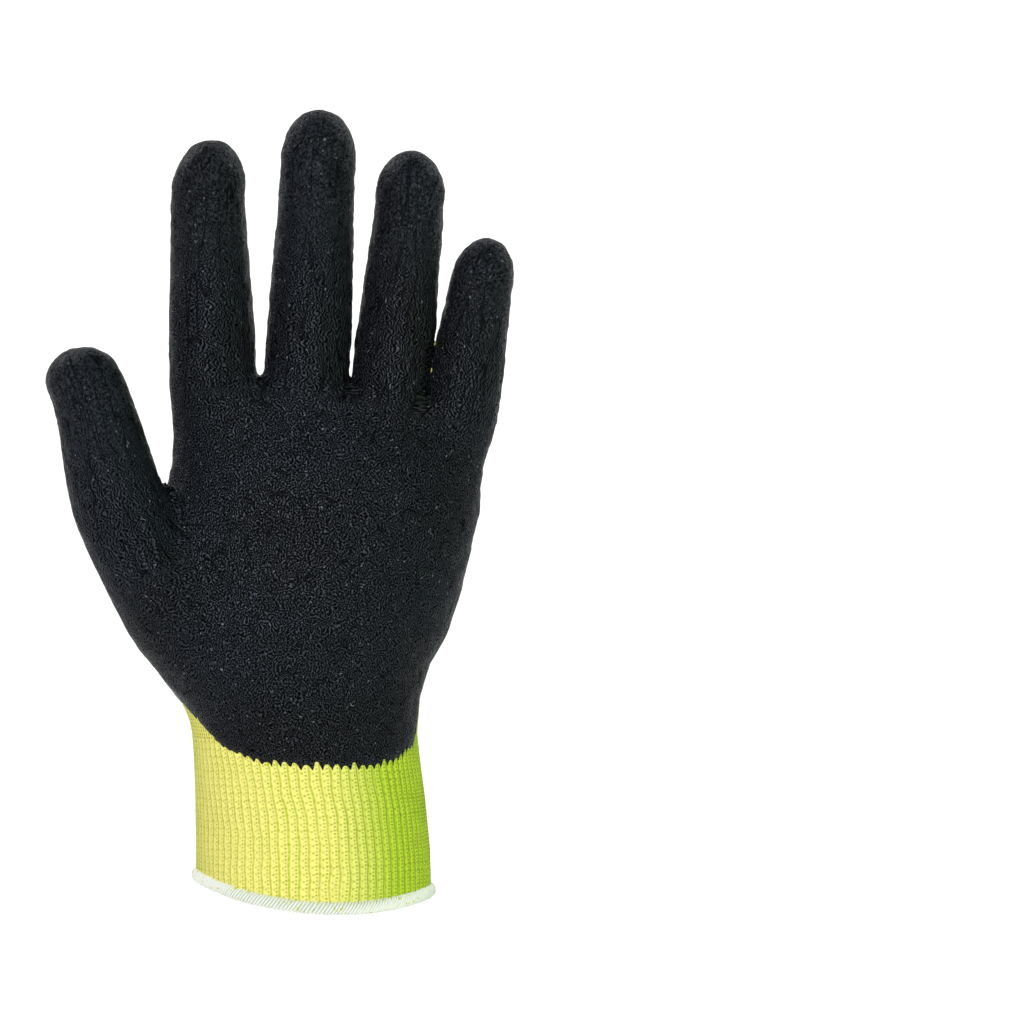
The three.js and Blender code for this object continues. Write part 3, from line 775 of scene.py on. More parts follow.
def laid_flat(p):
    """The surface laid flat, as values that the materials read: loops of the knit, places in
    millimetres in the palm and in the nearest stall, how far a point is in a stall, and how
    strongly and how much lengthwise the latex wrinkles there."""
    x, y, z = p.T
    middle, _, deep, _ = section_at(palm_height(x, z), y < 0)
    out = np.abs(x - middle)
    across = np.sign(x - middle) * (out + np.maximum(deep - np.abs(y), 0.0)) + middle
    along = z.copy()
    none = np.zeros(len(p))
    palm = np.stack([across, along, none], axis=1)
    grain = palm.copy()
    stall = none.copy()
    tip = none.copy()
    flank = none.copy()
    nearest = np.full(len(p), 1.5)
    for name in FINGERS:
        f = finger(name)
        t, side, back = finger_place(f, p)
        half_width = f["width"] / 2
        off = np.abs(side) / half_width
        closer = (off < nearest) & (t > -15.0)
        nearest = np.where(closer, off, nearest)
        angle = np.arctan2(side / half_width, np.abs(back) / (half_width * STALL_FLATNESS))
        own = smooth_step(t, *FINGER_GRAIN_FROM) * (off < 1.35)
        base = KNUCKLE_HEIGHT - f["drop"] * PALM_LENGTH
        finger_across = PALM_SHIFT + f["across"] * PALM_WIDTH + angle * half_width * 0.95
        local = np.stack([finger_across, base + t, none], axis=1)
        across = np.where(closer, between(across, finger_across, own), across)
        along = np.where(closer, between(along, base + t, own), along)
        grain = np.where(closer[:, None], local, grain)
        stall = np.where(closer, own, stall)
        tip = np.where(closer, smooth_step(t / f["length"], 0.3, 0.85), tip)
        flank = np.where(closer, np.clip(0.45 + 0.55 * side / half_width, 0.0, 1.0) * own, flank)
    t, side, back = thumb_place(p, THUMB["turn"])
    reach = np.abs(thumb_distance(p))
    own = smooth_step(t, *THUMB_GRAIN_FROM) * (reach < 4.0) * (x < -28.0)
    thumb_across = -45.0 + np.arctan2(side, np.abs(back)) * THUMB_WIDTH / 2
    local = np.stack([thumb_across, 60.0 + t, none], axis=1)
    across = between(across, thumb_across, own)
    along = between(along, 60.0 + t, own)
    grain = np.where((own > 0.01)[:, None], local, grain)
    stall = np.maximum(stall, own)
    tip = np.maximum(tip, own * smooth_step(t / THUMB_LENGTH, 0.6, 0.9))
    flank = np.maximum(flank, 0.5 * own)
    return {
        "loops": np.stack([across / WALE, along / COURSE, none], axis=1),
        "palm": palm,
        "grain": grain,
        "stall": stall,
        "folded": 1.0 - 0.75 * tip,
        "lengthwise": 0.1 + 0.6 * flank * (1.0 - tip),
    }


# Materials


def linear(hex_colour):
    """An sRGB hex colour as linear red, green, blue and alpha."""
    values = [int(hex_colour[i : i + 2], 16) / 255 for i in (1, 3, 5)]
    return [v / 12.92 if v <= 0.04045 else ((v + 0.055) / 1.055) ** 2.4 for v in values] + [1.0]


def new_material(name):
    """An empty material and its node tree."""
    material = bpy.data.materials.new(name)
    material.use_nodes = True
    tree = material.node_tree
    tree.nodes.clear()
    return material, tree


def add(tree, kind, settings=None, inputs=None, output=0):
    """A node with its settings and with values or sockets on its inputs; gives its output."""
    node = tree.nodes.new("ShaderNode" + kind)
    for name, value in (settings or {}).items():
        setattr(node, name, value)
    for name, value in (inputs or {}).items():
        socket = node.inputs[name]
        if isinstance(value, bpy.types.NodeSocket):
            tree.links.new(value, socket)
        else:
            socket.default_value = value
    return node.outputs[output] if node.outputs else node


def multiplied(tree, sockets):
    """The product of values."""
    product = sockets[0]
    for socket in sockets[1:]:
        product = add(tree, "Math", {"operation": "MULTIPLY"}, {0: product, 1: socket})
    return product


def hole(tree, loops, wale_width, across, every, offset, radius, depth):
    """A small hole between the yarns, painted darker as painted shade, once a wale and once in
    every so many courses.
    """
    cell = add(
        tree,
        "VectorMath",
        {"operation": "MULTIPLY_ADD"},
        {0: loops, 1: (1.0, 1.0 / every, 0.0), 2: (0.5 - across, 0.5 - offset / every, 0.5)},
    )
    cell = add(tree, "VectorMath", {"operation": "FRACTION"}, {0: cell})
    cell = add(tree, "VectorMath", {"operation": "SUBTRACT"}, {0: cell, 1: (0.5, 0.5, 0.5)})
    cell = add(
        tree,
        "VectorMath",
        {"operation": "MULTIPLY"},
        {0: cell, 1: (wale_width, every * COURSE, 0.0)},
    )
    gap = add(tree, "VectorMath", {"operation": "LENGTH"}, {0: cell}, output="Value")
    return add(
        tree,
        "MapRange",
        {"interpolation_type": "SMOOTHSTEP"},
        {"Value": gap, "From Min": 0.25 * radius, "From Max": radius, "To Min": 1.0 - depth},
    )


def knit_finish(name, light, deep, wale_width, holes, groove, bump_mm):
    """Neon polyester yarn: matt, with painted shade in the holes between loops, in the furrows
    and along the edges of the loop legs, where the colour goes towards the deep yellow-green, and
    more painted shade that turns the colour greener where the knit turns away from the lit side.
    The loops are as wide as in the picture and wander by part of a loop over 9 mm; the fluff's
    fibres are drawn 0.4 mm apart, which is coarser than they are, so that they show."""
    material, tree = new_material(name)
    place = add(tree, "TexCoord", output="Object")
    loops = add(tree, "Attribute", {"attribute_name": "loops"}, output="Vector")
    wander = add(
        tree, "TexNoise", {}, {"Vector": place, "Scale": 110.0, "Detail": 1.0}, output="Color"
    )
    loops = add(
        tree,
        "VectorMath",
        {"operation": "MULTIPLY_ADD"},
        {0: wander, 1: (0.7, 0.9, 0.0), 2: loops},
    )
    wale = add(tree, "SeparateXYZ", {}, {0: loops}, output="X")
    course = add(tree, "SeparateXYZ", {}, {0: loops}, output="Y")
    half = add(tree, "Math", {"operation": "PINGPONG"}, {0: wale, 1: 0.5})
    lift = add(tree, "Math", {"operation": "MULTIPLY_ADD"}, {0: half, 1: -1.6, 2: course})
    leg = add(tree, "Math", {"operation": "PINGPONG"}, {0: lift, 1: 0.5})
    leg = add(
        tree,
        "MapRange",
        {"interpolation_type": "SMOOTHSTEP"},
        {"Value": leg, "From Max": 0.3, "To Min": 0.9},
    )
    furrow = add(
        tree,
        "MapRange",
        {"interpolation_type": "SMOOTHSTEP"},
        {"Value": half, "From Min": 0.02, "From Max": 0.17, "To Min": 1.0 - groove},
    )
    pores = multiplied(tree, [hole(tree, loops, wale_width, *row) for row in holes])
    uneven = add(tree, "TexNoise", {}, {"Vector": loops, "Scale": 0.8, "Detail": 2.0})
    uneven = add(
        tree,
        "MapRange",
        {},
        {"Value": uneven, "From Min": 0.35, "From Max": 0.62, "To Min": 0.0, "To Max": 0.35},
    )
    pores = add(tree, "Math", {"operation": "ADD"}, {0: pores, 1: uneven})
    height = multiplied(tree, [pores, leg, furrow])
    blotch = add(tree, "TexNoise", {}, {"Vector": place, "Scale": 70.0, "Detail": 3.0})
    fluff = add(tree, "TexNoise", {}, {"Vector": place, "Scale": 2600.0, "Detail": 2.0})
    shade = add(tree, "Math", {"operation": "MULTIPLY_ADD"}, {0: blotch, 1: 0.3, 2: height})
    shade = add(tree, "MapRange", {}, {"Value": shade, "From Min": 0.3, "From Max": 1.12})
    # Painted shade: holes, furrows and the edges of the loop legs go towards the deep colour,
    # mixed with a random blotchy tone
    colour = add(
        tree,
        "Mix",
        {"data_type": "RGBA"},
        {"Factor": shade, "A": linear(deep), "B": linear(light)},
        output="Result",
    )
    # Painted shade: the colour is multiplied greener where the knit turns away from the lit side,
    # to either side
    turned = add(tree, "Attribute", {"attribute_name": "turned"}, output="Fac")
    turned = add(tree, "Math", {"operation": "ADD"}, {0: turned, 1: BRIGHTEST_TURN})
    turned = add(tree, "Math", {"operation": "ABSOLUTE"}, {0: turned})
    turned = add(
        tree,
        "MapRange",
        {"interpolation_type": "SMOOTHSTEP"},
        {"Value": turned, "From Min": 0.38, "From Max": 0.95},
    )
    colour = add(
        tree,
        "Mix",
        {"data_type": "RGBA", "blend_type": "MULTIPLY"},
        {"Factor": turned, "A": colour, "B": linear("#c0e268")},
        output="Result",
    )
    relief = add(tree, "Math", {"operation": "MULTIPLY_ADD"}, {0: fluff, 1: 0.2, 2: height})
    bump = add(
        tree, "Bump", {}, {"Height": relief, "Strength": 1.0, "Distance": bump_mm * MM}
    )
    shader = add(
        tree,
        "BsdfPrincipled",
        {},
        {
            "Base Color": colour,
            "Roughness": 0.85,
            "Normal": bump,
            "Specular IOR Level": 0.25,
            "Sheen Weight": 0.2,
            "Sheen Roughness": 0.5,
            "Sheen Tint": linear("#f4f7a0"),
        },
    )
    add(tree, "OutputMaterial", {}, {"Surface": shader})
    return material


def grooves(tree, place, scale, width, distortion):
    """Narrow worm-like grooves where a noise crosses its middle: 0 in them, 1 on the flats."""
    worms = add(
        tree,
        "TexNoise",
        {},
        {
            "Vector": place,
            "Scale": scale,
            "Detail": 1.0,
            "Roughness": 0.5,
            "Distortion": distortion,
        },
    )
    off = add(tree, "Math", {"operation": "SUBTRACT"}, {0: worms, 1: 0.5})
    off = add(tree, "Math", {"operation": "ABSOLUTE"}, {0: off})
    return add(
        tree,
        "MapRange",
        {"interpolation_type": "SMOOTHSTEP"},
        {"Value": off, "From Max": width},
    )


def crinkle(tree, flat, lengthwise):
    """The crinkle over millimetres laid flat: worm-like ridges at 1, narrow grooves at 0. The
    ridges are 0.9 mm apart, about as in the picture, and bend every 3 mm or so."""
    bend = add(
        tree, "TexNoise", {}, {"Vector": flat, "Scale": 0.3, "Detail": 2.0}, output="Color"
    )
    flat = add(
        tree, "VectorMath", {"operation": "MULTIPLY_ADD"}, {0: bend, 1: (3.0, 3.0, 0.0), 2: flat}
    )
    worms = add(
        tree,
        "TexGabor",
        {"gabor_type": "2D"},
        {
            "Vector": flat,
            "Scale": 0.7,
            "Frequency": 1.6,
            "Anisotropy": lengthwise,
            "Orientation": 0.0,
        },
        output="Value",
    )
    return add(
        tree,
        "MapRange",
        {"interpolation_type": "SMOOTHSTEP"},
        {"Value": worms, "From Min": 0.36, "From Max": 0.62},
    )


def latex_finish():
    """Foamed, crinkled latex: matt black with a cold cast, drawn into worm-like wrinkles as it
    set, smoother along its thin edge; its grooves and creases are painted near black as painted
    shade, and small grey spots on it are painted glints. The pores of the foam are drawn 0.4 mm
    apart, which is coarser than they are, so that they show."""
    material, tree = new_material("crinkled_black_latex")
    place = add(tree, "TexCoord", output="Object")
    palm = add(tree, "Attribute", {"attribute_name": "palm"}, output="Vector")
    grain = add(tree, "Attribute", {"attribute_name": "grain"}, output="Vector")
    long_grain = add(
        tree, "VectorMath", {"operation": "MULTIPLY"}, {0: grain, 1: (1.0, 0.16, 0.0)}
    )
    stall = add(tree, "Attribute", {"attribute_name": "stall"}, output="Fac")
    stall = add(tree, "MapRange", {}, {"Value": stall, "From Min": 0.4, "From Max": 0.6})
    folded = add(tree, "Attribute", {"attribute_name": "folded"}, output="Fac")
    lengthwise = add(tree, "Attribute", {"attribute_name": "lengthwise"}, output="Fac")
    rim = add(tree, "Attribute", {"attribute_name": "inside"}, output="Fac")
    worms = add(
        tree,
        "Mix",
        {"data_type": "FLOAT"},
        {
            "Factor": stall,
            "A": crinkle(tree, palm, lengthwise),
            "B": crinkle(tree, grain, lengthwise),
        },
    )
    fine = add(
        tree, "TexNoise", {}, {"Vector": place, "Scale": 1250.0, "Detail": 1.0, "Distortion": 0.6}
    )
    fine = add(tree, "MapRange", {}, {"Value": fine, "From Min": 0.36, "From Max": 0.62})
    worms = add(
        tree, "Mix", {"data_type": "FLOAT"}, {"Factor": folded, "A": fine, "B": worms}
    )
    creases = add(
        tree,
        "Mix",
        {"data_type": "FLOAT"},
        {
            "Factor": stall,
            "A": grooves(tree, palm, 0.09, 0.008, 0.9),
            "B": grooves(tree, long_grain, 0.2, 0.02, 0.5),
        },
    )
    creases = add(tree, "MapRange", {}, {"Value": creases, "To Min": 0.2})
    grit = add(tree, "TexNoise", {}, {"Vector": place, "Scale": 2600.0, "Detail": 2.0})
    height = multiplied(tree, [worms, creases])
    smooth_rim = add(
        tree,
        "MapRange",
        {"interpolation_type": "SMOOTHSTEP"},
        {"Value": rim, "From Min": 0.4, "From Max": 2.6, "To Min": 0.25, "To Max": 1.0},
    )
    relief = add(tree, "Math", {"operation": "MULTIPLY_ADD"}, {0: grit, 1: 0.3, 2: height})
    relief = add(tree, "Math", {"operation": "MULTIPLY"}, {0: relief, 1: smooth_rim})
    bump = add(tree, "Bump", {}, {"Height": relief, "Strength": 1.0, "Distance": 0.42 * MM})
    tone = add(tree, "TexNoise", {}, {"Vector": place, "Scale": 24.0, "Detail": 2.0})
    tone = add(tree, "MapRange", {}, {"Value": tone, "From Min": 0.35, "From Max": 0.65})
    ridge = add(
        tree,
        "Mix",
        {"data_type": "RGBA"},
        {"Factor": tone, "A": linear("#151517"), "B": linear("#1b2028")},
        output="Result",
    )
    # Painted glints: small light grey spots on the ridges stand in for glints of light
    painted_glints = add(tree, "TexNoise", {}, {"Vector": place, "Scale": 900.0, "Detail": 0.0})
    painted_glints = add(tree, "MapRange", {}, {"Value": painted_glints, "From Min": 0.765, "From Max": 0.82})
    ridge = add(
        tree,
        "Mix",
        {"data_type": "RGBA"},
        {"Factor": painted_glints, "A": ridge, "B": linear("#6d7075")},
        output="Result",
    )
    # Painted shade: the grooves and creases are coloured near black, darker than the ridges
    colour = add(
        tree,
        "Mix",
        {"data_type": "RGBA"},
        {"Factor": height, "A": linear("#040405"), "B": ridge},
        output="Result",
    )
    shine = add(tree, "MapRange", {}, {"Value": height, "To Min": 0.02, "To Max": 0.5})
    rough = add(
        tree,
        "MapRange",
        {},
        {"Value": rim, "From Min": 0.3, "From Max": 3.0, "To Min": 0.34, "To Max": 0.47},
    )
    shader = add(
        tree,
        "BsdfPrincipled",
        {},
        {
            "Base Color": colour,
            "Roughness": rough,
            "Specular IOR Level": shine,
            "Specular Tint": linear("#e4ebff"),
            "Normal": bump,
        },
    )
    add(tree, "OutputMaterial", {}, {"Surface": shader})
    return material


def yarn_finish():
    """Textured white polyester: soft, fuzzy strands, with ends of the neon yarn caught in them.
    The fuzz is drawn 0.7 mm apart, which is coarser than its fibres are, so that it shows."""
    material, tree = new_material("white_textured_polyester_yarn")
    place = add(tree, "TexCoord", output="Object")
    fuzz = add(tree, "TexNoise", {}, {"Vector": place, "Scale": 1500.0, "Detail": 4.0})
    bump = add(tree, "Bump", {}, {"Height": fuzz, "Strength": 0.8, "Distance": 0.25 * MM})
    colour = add(
        tree,
        "Mix",
        {"data_type": "RGBA"},
        {"Factor": fuzz, "A": linear("#eef4e6"), "B": linear("#fffffc")},
        output="Result",
    )
    ends = add(tree, "TexNoise", {}, {"Vector": place, "Scale": 800.0, "Detail": 0.0})
    ends = add(tree, "MapRange", {}, {"Value": ends, "From Min": 0.7, "From Max": 0.74})
    colour = add(
        tree,
        "Mix",
        {"data_type": "RGBA"},
        {"Factor": ends, "A": colour, "B": linear("#dfe34f")},
        output="Result",
    )
    shader = add(
        tree,
        "BsdfPrincipled",
        {},
        {"Base Color": colour, "Roughness": 0.9, "Normal": bump, "Sheen Weight": 0.3},
    )
    add(tree, "OutputMaterial", {}, {"Surface": shader})
    return material


# The knit is brightest, free of its painted shade, where it turns this much to the thumb's side,
# the lit side, of 1 for straight to it
BRIGHTEST_TURN = 0.35

# The holes of the two knits: across in wales, every and offset in courses, radius in mm, depth,
# which both sinks a hole and darkens it as painted shade
RIB_WIDTH = math.pi * (CUFF_WIDTH + CUFF_DEPTH) / 2 / RIB_COUNT
PLAIN_HOLES = [
    (0.0, 1.0, 0.0, 0.5, 1.0),
    (0.5, 1.0, 0.5, 0.28, 0.35),
]
RIB_HOLES = [
    (0.68, 1.0, 0.0, 0.42, 0.85),
    (0.36, 2.0, 0.6, 0.42, 0.65),
    (0.0, 2.0, 1.1, 0.7, 0.35),
]
# Each knit's deep colour is the painted shade in its holes and furrows
neon_knit = knit_finish(
    "neon_polyester_plain_knit", "#fdf582", "#a3aa00", WALE, PLAIN_HOLES, 0.4, 0.35
)
neon_rib = knit_finish(
    "neon_polyester_rib_knit", "#fdf58a", "#b4bd00", RIB_WIDTH, RIB_HOLES, 0.62, 0.32
)
black_latex = latex_finish()
white_yarn = yarn_finish()

# The knitted hand: one skin with a wall, open at the wrist

LINER_NODES = ["liner_palm", "liner_thumb"] + ["liner_" + name for name in FINGERS]

skin = melted(rough_hand(CUFF_LENGTH - 12.0), LINER_VOXEL)
at, out = settled(places(skin))
place_verts(skin, at)
bmesh.ops.bisect_plane(
    skin,
    geom=skin.verts[:] + skin.edges[:] + skin.faces[:],
    plane_co=(0, 0, (CUFF_LENGTH - 0.6) * MM),
    plane_no=(0, 0, -1),
    clear_outer=True,
)
bmesh.ops.recalc_face_normals(skin, faces=skin.faces)
liner_places = places(skin)
hand = new_piece("knitted_hand", skin, LINER_NODES, neon_knit)
write_values(hand.data, "loops", laid_flat(liner_places)["loops"])
# How far the knit faces sideways, which sets its painted shade
write_values(hand.data, "turned", settled(liner_places)[1][:, 0])
wall = hand.modifiers.new("knit_wall", "SOLIDIFY")
wall.thickness = LINER_WALL * MM
wall.offset = -1.0

# The latex: a skin over the dipped part that thins out to its edge and sinks into the knit there


def rib_lean(height):
    """How far round the wrist the ribs have leant at a height, in radians."""
    return RIB_LEAN * smooth_step(height, RIB_LEAN_FROM, CUFF_LENGTH)


def rib_phase(p):
    """Places round the wrist counted in ribs."""
    x, y, z = p.T
    middle, half, deep, square = section_at(z, y < 0)
    u = (x - middle) / half
    v = y / deep
    power = square / 2
    turn = np.arctan2(np.sign(y) * np.abs(v) ** power, np.sign(u) * np.abs(u) ** power)
    return (turn + rib_lean(z)) / (2 * math.pi) * RIB_COUNT


def rib_nubs(p):
    """How far the ribs of the wrist poke up into the latex's lower edge, some more, some less."""
    phase = rib_phase(p)
    uneven = 0.4 + 0.8 * np.sin(np.round(phase) * 2.4) * np.cos(np.round(phase) * 0.7)
    nub = smooth_step(np.cos(2 * math.pi * phase), -0.5, 0.4) * np.clip(uneven, 0.05, 1.0)
    nub = nub * between(NUB_LEAST, 1.0, smooth_step(p[:, 0], *NUB_FADE_ACROSS))
    return (1.0 - smooth_step(p[:, 2], *NUB_FADE_UP)) * (NUB_BASE - nub * NUB_DEPTH)


skin = melted(rough_hand(20.0), LATEX_VOXEL)
at, _ = settled(places(skin), rounds=2)
inside = dip_depth(at)
near_edge = np.abs(inside) < EDGE_BAND
near_nubs = near_edge & (at[:, 2] < NUB_FACES_TO)
skin.verts.index_update()
for chosen, cuts in ((near_nubs, 2), (near_edge & ~near_nubs, 1)):
    chosen_edges = [
        e
        for e in skin.edges
        if max(v.index for v in e.verts) < len(at) and all(chosen[v.index] for v in e.verts)
    ]
    bmesh.ops.subdivide_edges(skin, edges=chosen_edges, cuts=cuts, use_grid_fill=True)
at, out = settled(places(skin))
inside = dip_depth(at)
inside = inside + rib_nubs(at) + EDGE_WANDER * ripples(at, WANDER_LENGTH, 5.0)
bmesh.ops.delete(
    skin,
    geom=[v for v, depth in zip(skin.verts[:], inside) if depth < EDGE_CUT],
    context="VERTS",
)
kept = inside >= EDGE_CUT
at, out, inside = at[kept], out[kept], inside[kept]
laid = laid_flat(at)
thickness = np.interp(inside, *np.array(EDGE_PROFILE).T)
swell = sum(
    depth * ripples(at, length, seed) for seed, (depth, length) in enumerate(SWELLS, start=1)
)
folds = ripples(laid["grain"] * (1.0, 0.25, 1.0), FOLD_LENGTH, 4)
swell = swell + FOLD_DEPTH * laid["stall"] * laid["folded"] * folds
raised = thickness + swell * smooth_step(inside, 0.0, 5.0)
place_verts(skin, at + out * raised[:, None])
coat = new_piece("latex_dip", skin, ["latex_coating"], black_latex)
for name in ("palm", "grain", "stall", "folded", "lengthwise"):
    write_values(coat.data, name, laid[name])
write_values(coat.data, "inside", inside)
depth_group = coat.vertex_groups.new(name="thickness")
for index, share in enumerate(np.clip((raised + LATEX_SUNK) / LATEX_WALL, 0.02, 1.0)):
    depth_group.add([index], float(share), "REPLACE")
wall = coat.modifiers.new("latex_wall", "SOLIDIFY")
wall.thickness = LATEX_WALL * MM
wall.offset = -1.0
wall.vertex_group = "thickness"

# The ribbed wrist: a sleeve of upright ribs, each a rounded ridge with a narrow groove


def hem_rise(turn):
    """How far the hem's line lies above the level of the hem at a turn round the wrist."""
    return HEM_SIDE_RISE * np.cos(turn) ** 2 - HEM_TILT * np.cos(turn) - HEM_SAG


def cuff_places(height, turns, offset, follow_hem=True):
    """Places round the wrist at a height, that much outside the knit."""
    follow = np.clip(1 - (height - HEM_SEAT) / (CUFF_LENGTH * 0.6), 0, 1) if follow_hem else 1.0
    x, y = outline_at(height, turns, offset)
    return np.stack([x, y, height + hem_rise(turns) * follow], axis=1)


def headings(line):
    """The direction of a closed line at each of its points."""
    ahead = np.roll(line, -1, axis=0) - np.roll(line, 1, axis=0)
    return ahead / np.linalg.norm(ahead, axis=1)[:, None]


turns = np.linspace(0, 2 * math.pi, RIB_COUNT * RIB_STEPS, endpoint=False)
phase = np.arange(len(turns)) / RIB_STEPS
ridge = np.abs(np.cos(math.pi * phase)) ** RIB_ROUNDNESS - 1.0
bm = bmesh.new()
rings = []
heights = np.linspace(HEM_SEAT, CUFF_LENGTH, 30)
for height in heights:
    fade = 1.0 - RIB_FADE * smooth_step(height, CUFF_LENGTH - RIB_FADE_LENGTH, CUFF_LENGTH)
    flat = between(RIB_FLAT, 1.0, smooth_step(np.cos(turns), *RIB_FLAT_ACROSS))
    rings.append(
        cuff_places(height, turns - rib_lean(height), ridge * RIB_DEPTH * flat * fade)
    )
for height in heights[::-4]:
    rings.append(cuff_places(height, turns, -LINER_WALL))
loft(bm, rings, endless=True)
bmesh.ops.recalc_face_normals(bm, faces=bm.faces)
cuff_at = places(bm)
cuff = new_piece("ribbed_wrist", bm, ["knit_cuff"], neon_rib)
cuff_wale = np.tile(phase + 0.5, len(rings))
cuff_loops = np.stack([cuff_wale, cuff_at[:, 2] / COURSE, np.zeros(len(cuff_at))], axis=1)
write_values(cuff.data, "loops", cuff_loops)
# How far the wrist's knit faces sideways, which sets its painted shade
ahead = headings(cuff_places(CUFF_LENGTH / 2, turns, 0.0))
sideways = ahead[:, 1] / np.hypot(ahead[:, 0], ahead[:, 1])
write_values(cuff.data, "turned", np.tile(sideways, len(rings)))

# The hem: a yarn wrapped round the edge of the knit, over a padded edge


def hem_line(turns):
    """The middle of the hem's roll."""
    line = cuff_places(0.0, turns, -LINER_WALL / 2, follow_hem=False)
    line[:, 2] += HEM_HEIGHT / 2
    return line


def tube(bm, line, width, depth, sides):
    """A tube of oval section along a closed line that lies about flat."""
    ahead = headings(line)
    outwards = np.cross(ahead, [0, 0, 1.0])
    outwards /= np.linalg.norm(outwards, axis=1)[:, None]
    upwards = np.cross(outwards, ahead)
    angles = np.linspace(0, 2 * math.pi, sides, endpoint=False)
    rings = [
        place + np.outer(np.cos(angles) * width, o) + np.outer(np.sin(angles) * depth, u)
        for place, o, u in zip(line, outwards, upwards)
    ]
    loft(bm, rings, endless=True)


bm = bmesh.new()
core_turns = np.linspace(0, 2 * math.pi, 160, endpoint=False)
tube(bm, hem_line(core_turns), HEM_THICKNESS / 2 - 0.9, HEM_HEIGHT / 2 - 0.7, 10)
bmesh.ops.recalc_face_normals(bm, faces=bm.faces)
new_piece("hem_edge", bm, ["hem_overlock"], white_yarn)

steps = np.arange(HEM_WRAPS * WRAP_STEPS)
around = steps / len(steps) * 2 * math.pi
wrap = steps / WRAP_STEPS * 2 * math.pi
middle = hem_line(around)
ahead = headings(middle)
outwards = np.cross(ahead, [0, 0, 1.0])
slant = WRAP_SLANT * np.sin(wrap)[:, None] * ahead
jitter = 0.16 * ripples(middle + ahead * wrap[:, None] * 0.4, 1.3, 3.0)
wide = HEM_THICKNESS / 2 - WRAP_YARN / 2 + jitter
tall = HEM_HEIGHT / 2 - 0.5 + jitter
line = middle + outwards * (np.cos(wrap) * wide)[:, None] + slant
line[:, 2] += np.sin(wrap) * tall
curve = bpy.data.curves.new("hem_wrap", "CURVE")
curve.dimensions = "3D"
spline = curve.splines.new("POLY")
spline.points.add(len(line) - 1)
for point, place in zip(spline.points, line):
    point.co = (*(Vector(place) * MM), 1.0)
spline.use_cyclic_u = True
curve.bevel_depth = WRAP_YARN / 2 * MM
curve.bevel_resolution = 1
curve.materials.append(white_yarn)
bm = final_mesh(helper("hem_wrap_line", curve))
bmesh.ops.remove_doubles(bm, verts=bm.verts, dist=0.00001)
bmesh.ops.recalc_face_normals(bm, faces=bm.faces)
new_piece("hem_wrap", bm, ["hem_overlock"], white_yarn)

# Studio, in metres: a white floor that runs up into a backdrop, a strong light from the upper
# left in front, a weaker one straight in front, and a green one from the right that gives the
# shaded side of the knit its greener yellow; two more keep the backdrop white

FLOOR_DROP = 0.13
FLOOR_FRONT = -2.6
FLOOR_BACK = 1.2
SWEEP_RADIUS = 0.8
BACKDROP_HEIGHT = 3.4
FLOOR_WIDTH = 6.0


def sweep():
    """The floor and backdrop in one sheet, bent in a quarter circle between them."""
    bm = bmesh.new()
    steps = [(FLOOR_FRONT, 0.0), (FLOOR_BACK, 0.0)]
    for turn in math.pi / 2 * np.arange(1, 13) / 12:
        steps.append(
            (
                FLOOR_BACK + SWEEP_RADIUS * math.sin(turn),
                SWEEP_RADIUS - SWEEP_RADIUS * math.cos(turn),
            )
        )
    steps.append((FLOOR_BACK + SWEEP_RADIUS, BACKDROP_HEIGHT))
    verts = [bm.verts.new((-FLOOR_WIDTH / 2, y, z - FLOOR_DROP)) for y, z in steps]
    edges = [bm.edges.new((a, b)) for a, b in zip(verts, verts[1:])]
    made = bmesh.ops.extrude_edge_only(bm, edges=edges)
    moved = [g for g in made["geom"] if isinstance(g, bmesh.types.BMVert)]
    bmesh.ops.translate(bm, verts=moved, vec=(FLOOR_WIDTH, 0, 0))
    bmesh.ops.recalc_face_normals(bm, faces=bm.faces)
    material, tree = new_material("matt_white_paper")
    shader = add(
        tree, "BsdfPrincipled", {}, {"Base Color": linear("#fdfdfd"), "Roughness": 1.0}
    )
    add(tree, "OutputMaterial", {}, {"Surface": shader})
    mesh = bpy.data.meshes.new("floor")
    bm.to_mesh(mesh)
    bm.free()
    mesh.materials.append(material)
    mesh.shade_smooth()
    floor = bpy.data.objects.new("floor", mesh)
    bpy.context.scene.collection.objects.link(floor)


sweep()

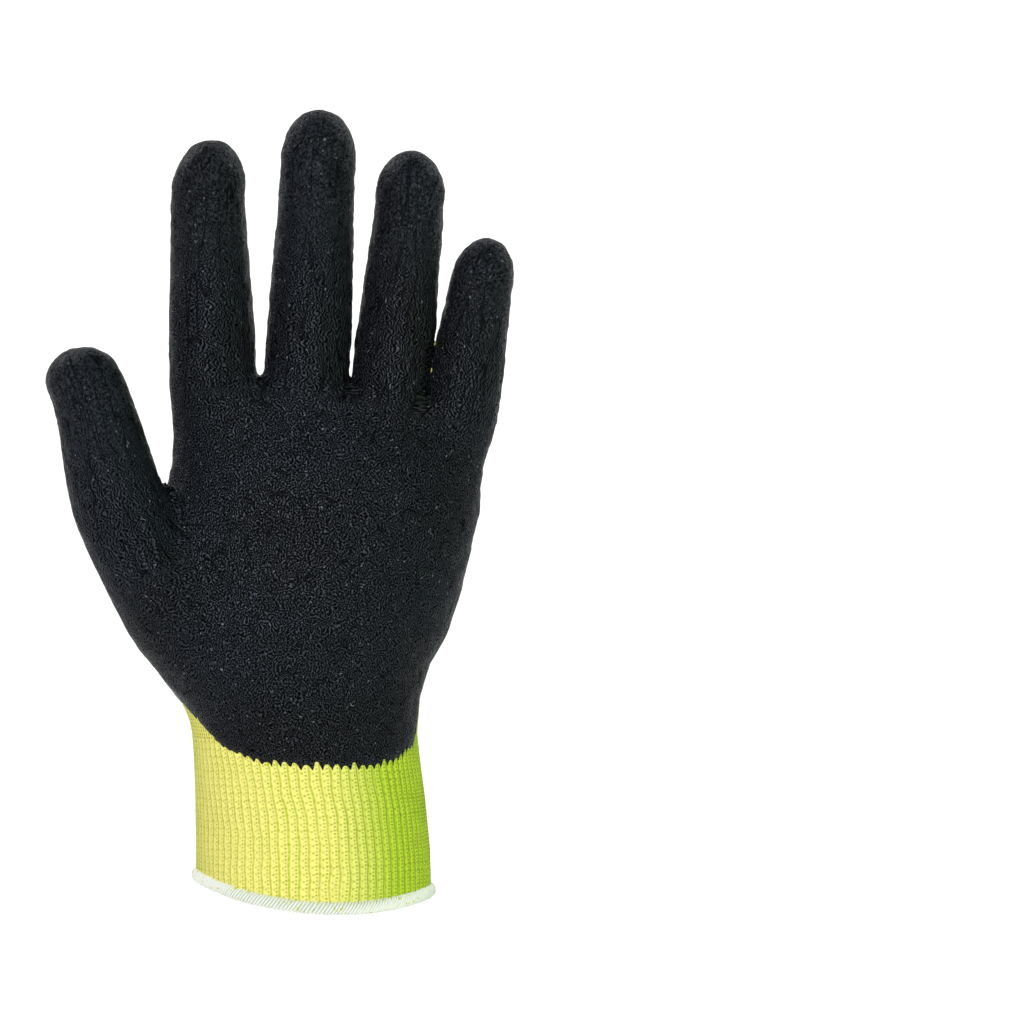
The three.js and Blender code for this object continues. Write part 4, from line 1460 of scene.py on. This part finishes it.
world = bpy.data.worlds.new("studio")
bpy.context.scene.world = world
world.use_nodes = True
world.node_tree.nodes["Background"].inputs["Color"].default_value = (1, 1, 1, 1)
world.node_tree.nodes["Background"].inputs["Strength"].default_value = 0.22


def area_light(name, place, target, size, power, colour=(1.0, 1.0, 1.0)):
    """A square soft light at a place, aimed at a target."""
    light = bpy.data.lights.new(name, "AREA")
    light.shape = "SQUARE"
    light.size = size
    light.energy = power
    light.color = colour
    lamp = bpy.data.objects.new(name, light)
    lamp.location = place
    lamp.rotation_euler = (Vector(target) - Vector(place)).to_track_quat("-Z", "Y").to_euler()
    bpy.context.scene.collection.objects.link(lamp)


area_light("key", (-0.45, -1.85, 0.9), (0, 0, 0.1), 0.45, 20.5, (1.0, 0.975, 0.97))
area_light("front", (0.15, -1.9, 0.3), (0, 0, 0.13), 0.4, 5.0, (0.9, 0.95, 1.0))
area_light("fill", (1.3, -1.0, 0.3), (0, 0, 0.1), 1.0, 3.4, (0.35, 1.0, 0.03))
area_light("backdrop_left", (-0.8, 0.9, 1.2), (0.1, 1.7, -0.1), 0.6, 12.0)
area_light("backdrop_right", (1.1, 0.9, 1.2), (0.3, 1.7, -0.1), 0.6, 13.0)

# The camera: the picture's size in pixels, the column and row in it where the frame's zero lies,
# and the millimetres that a pixel covers there
VIEW_DISTANCE = 1.2
PICTURE = 1024
ZERO_COLUMN = 312
ZERO_ROW = 903
PIXEL = 0.3117
SENSOR = 36.0
view = bpy.data.cameras.new("view")
view.sensor_width = SENSOR
view.lens = SENSOR * VIEW_DISTANCE / (PICTURE * PIXEL * MM)
view.clip_start = 0.05
camera = bpy.data.objects.new("view", view)
camera.location = (0.0, -VIEW_DISTANCE, (ZERO_ROW - PICTURE / 2) * PIXEL * MM)
yaw = math.atan((PICTURE / 2 - ZERO_COLUMN) * PIXEL * MM / VIEW_DISTANCE)
camera.rotation_euler = (math.pi / 2, 0.0, -yaw)
bpy.context.scene.collection.objects.link(camera)
bpy.context.scene.camera = camera
bpy.context.scene.view_settings.view_transform = "Standard"
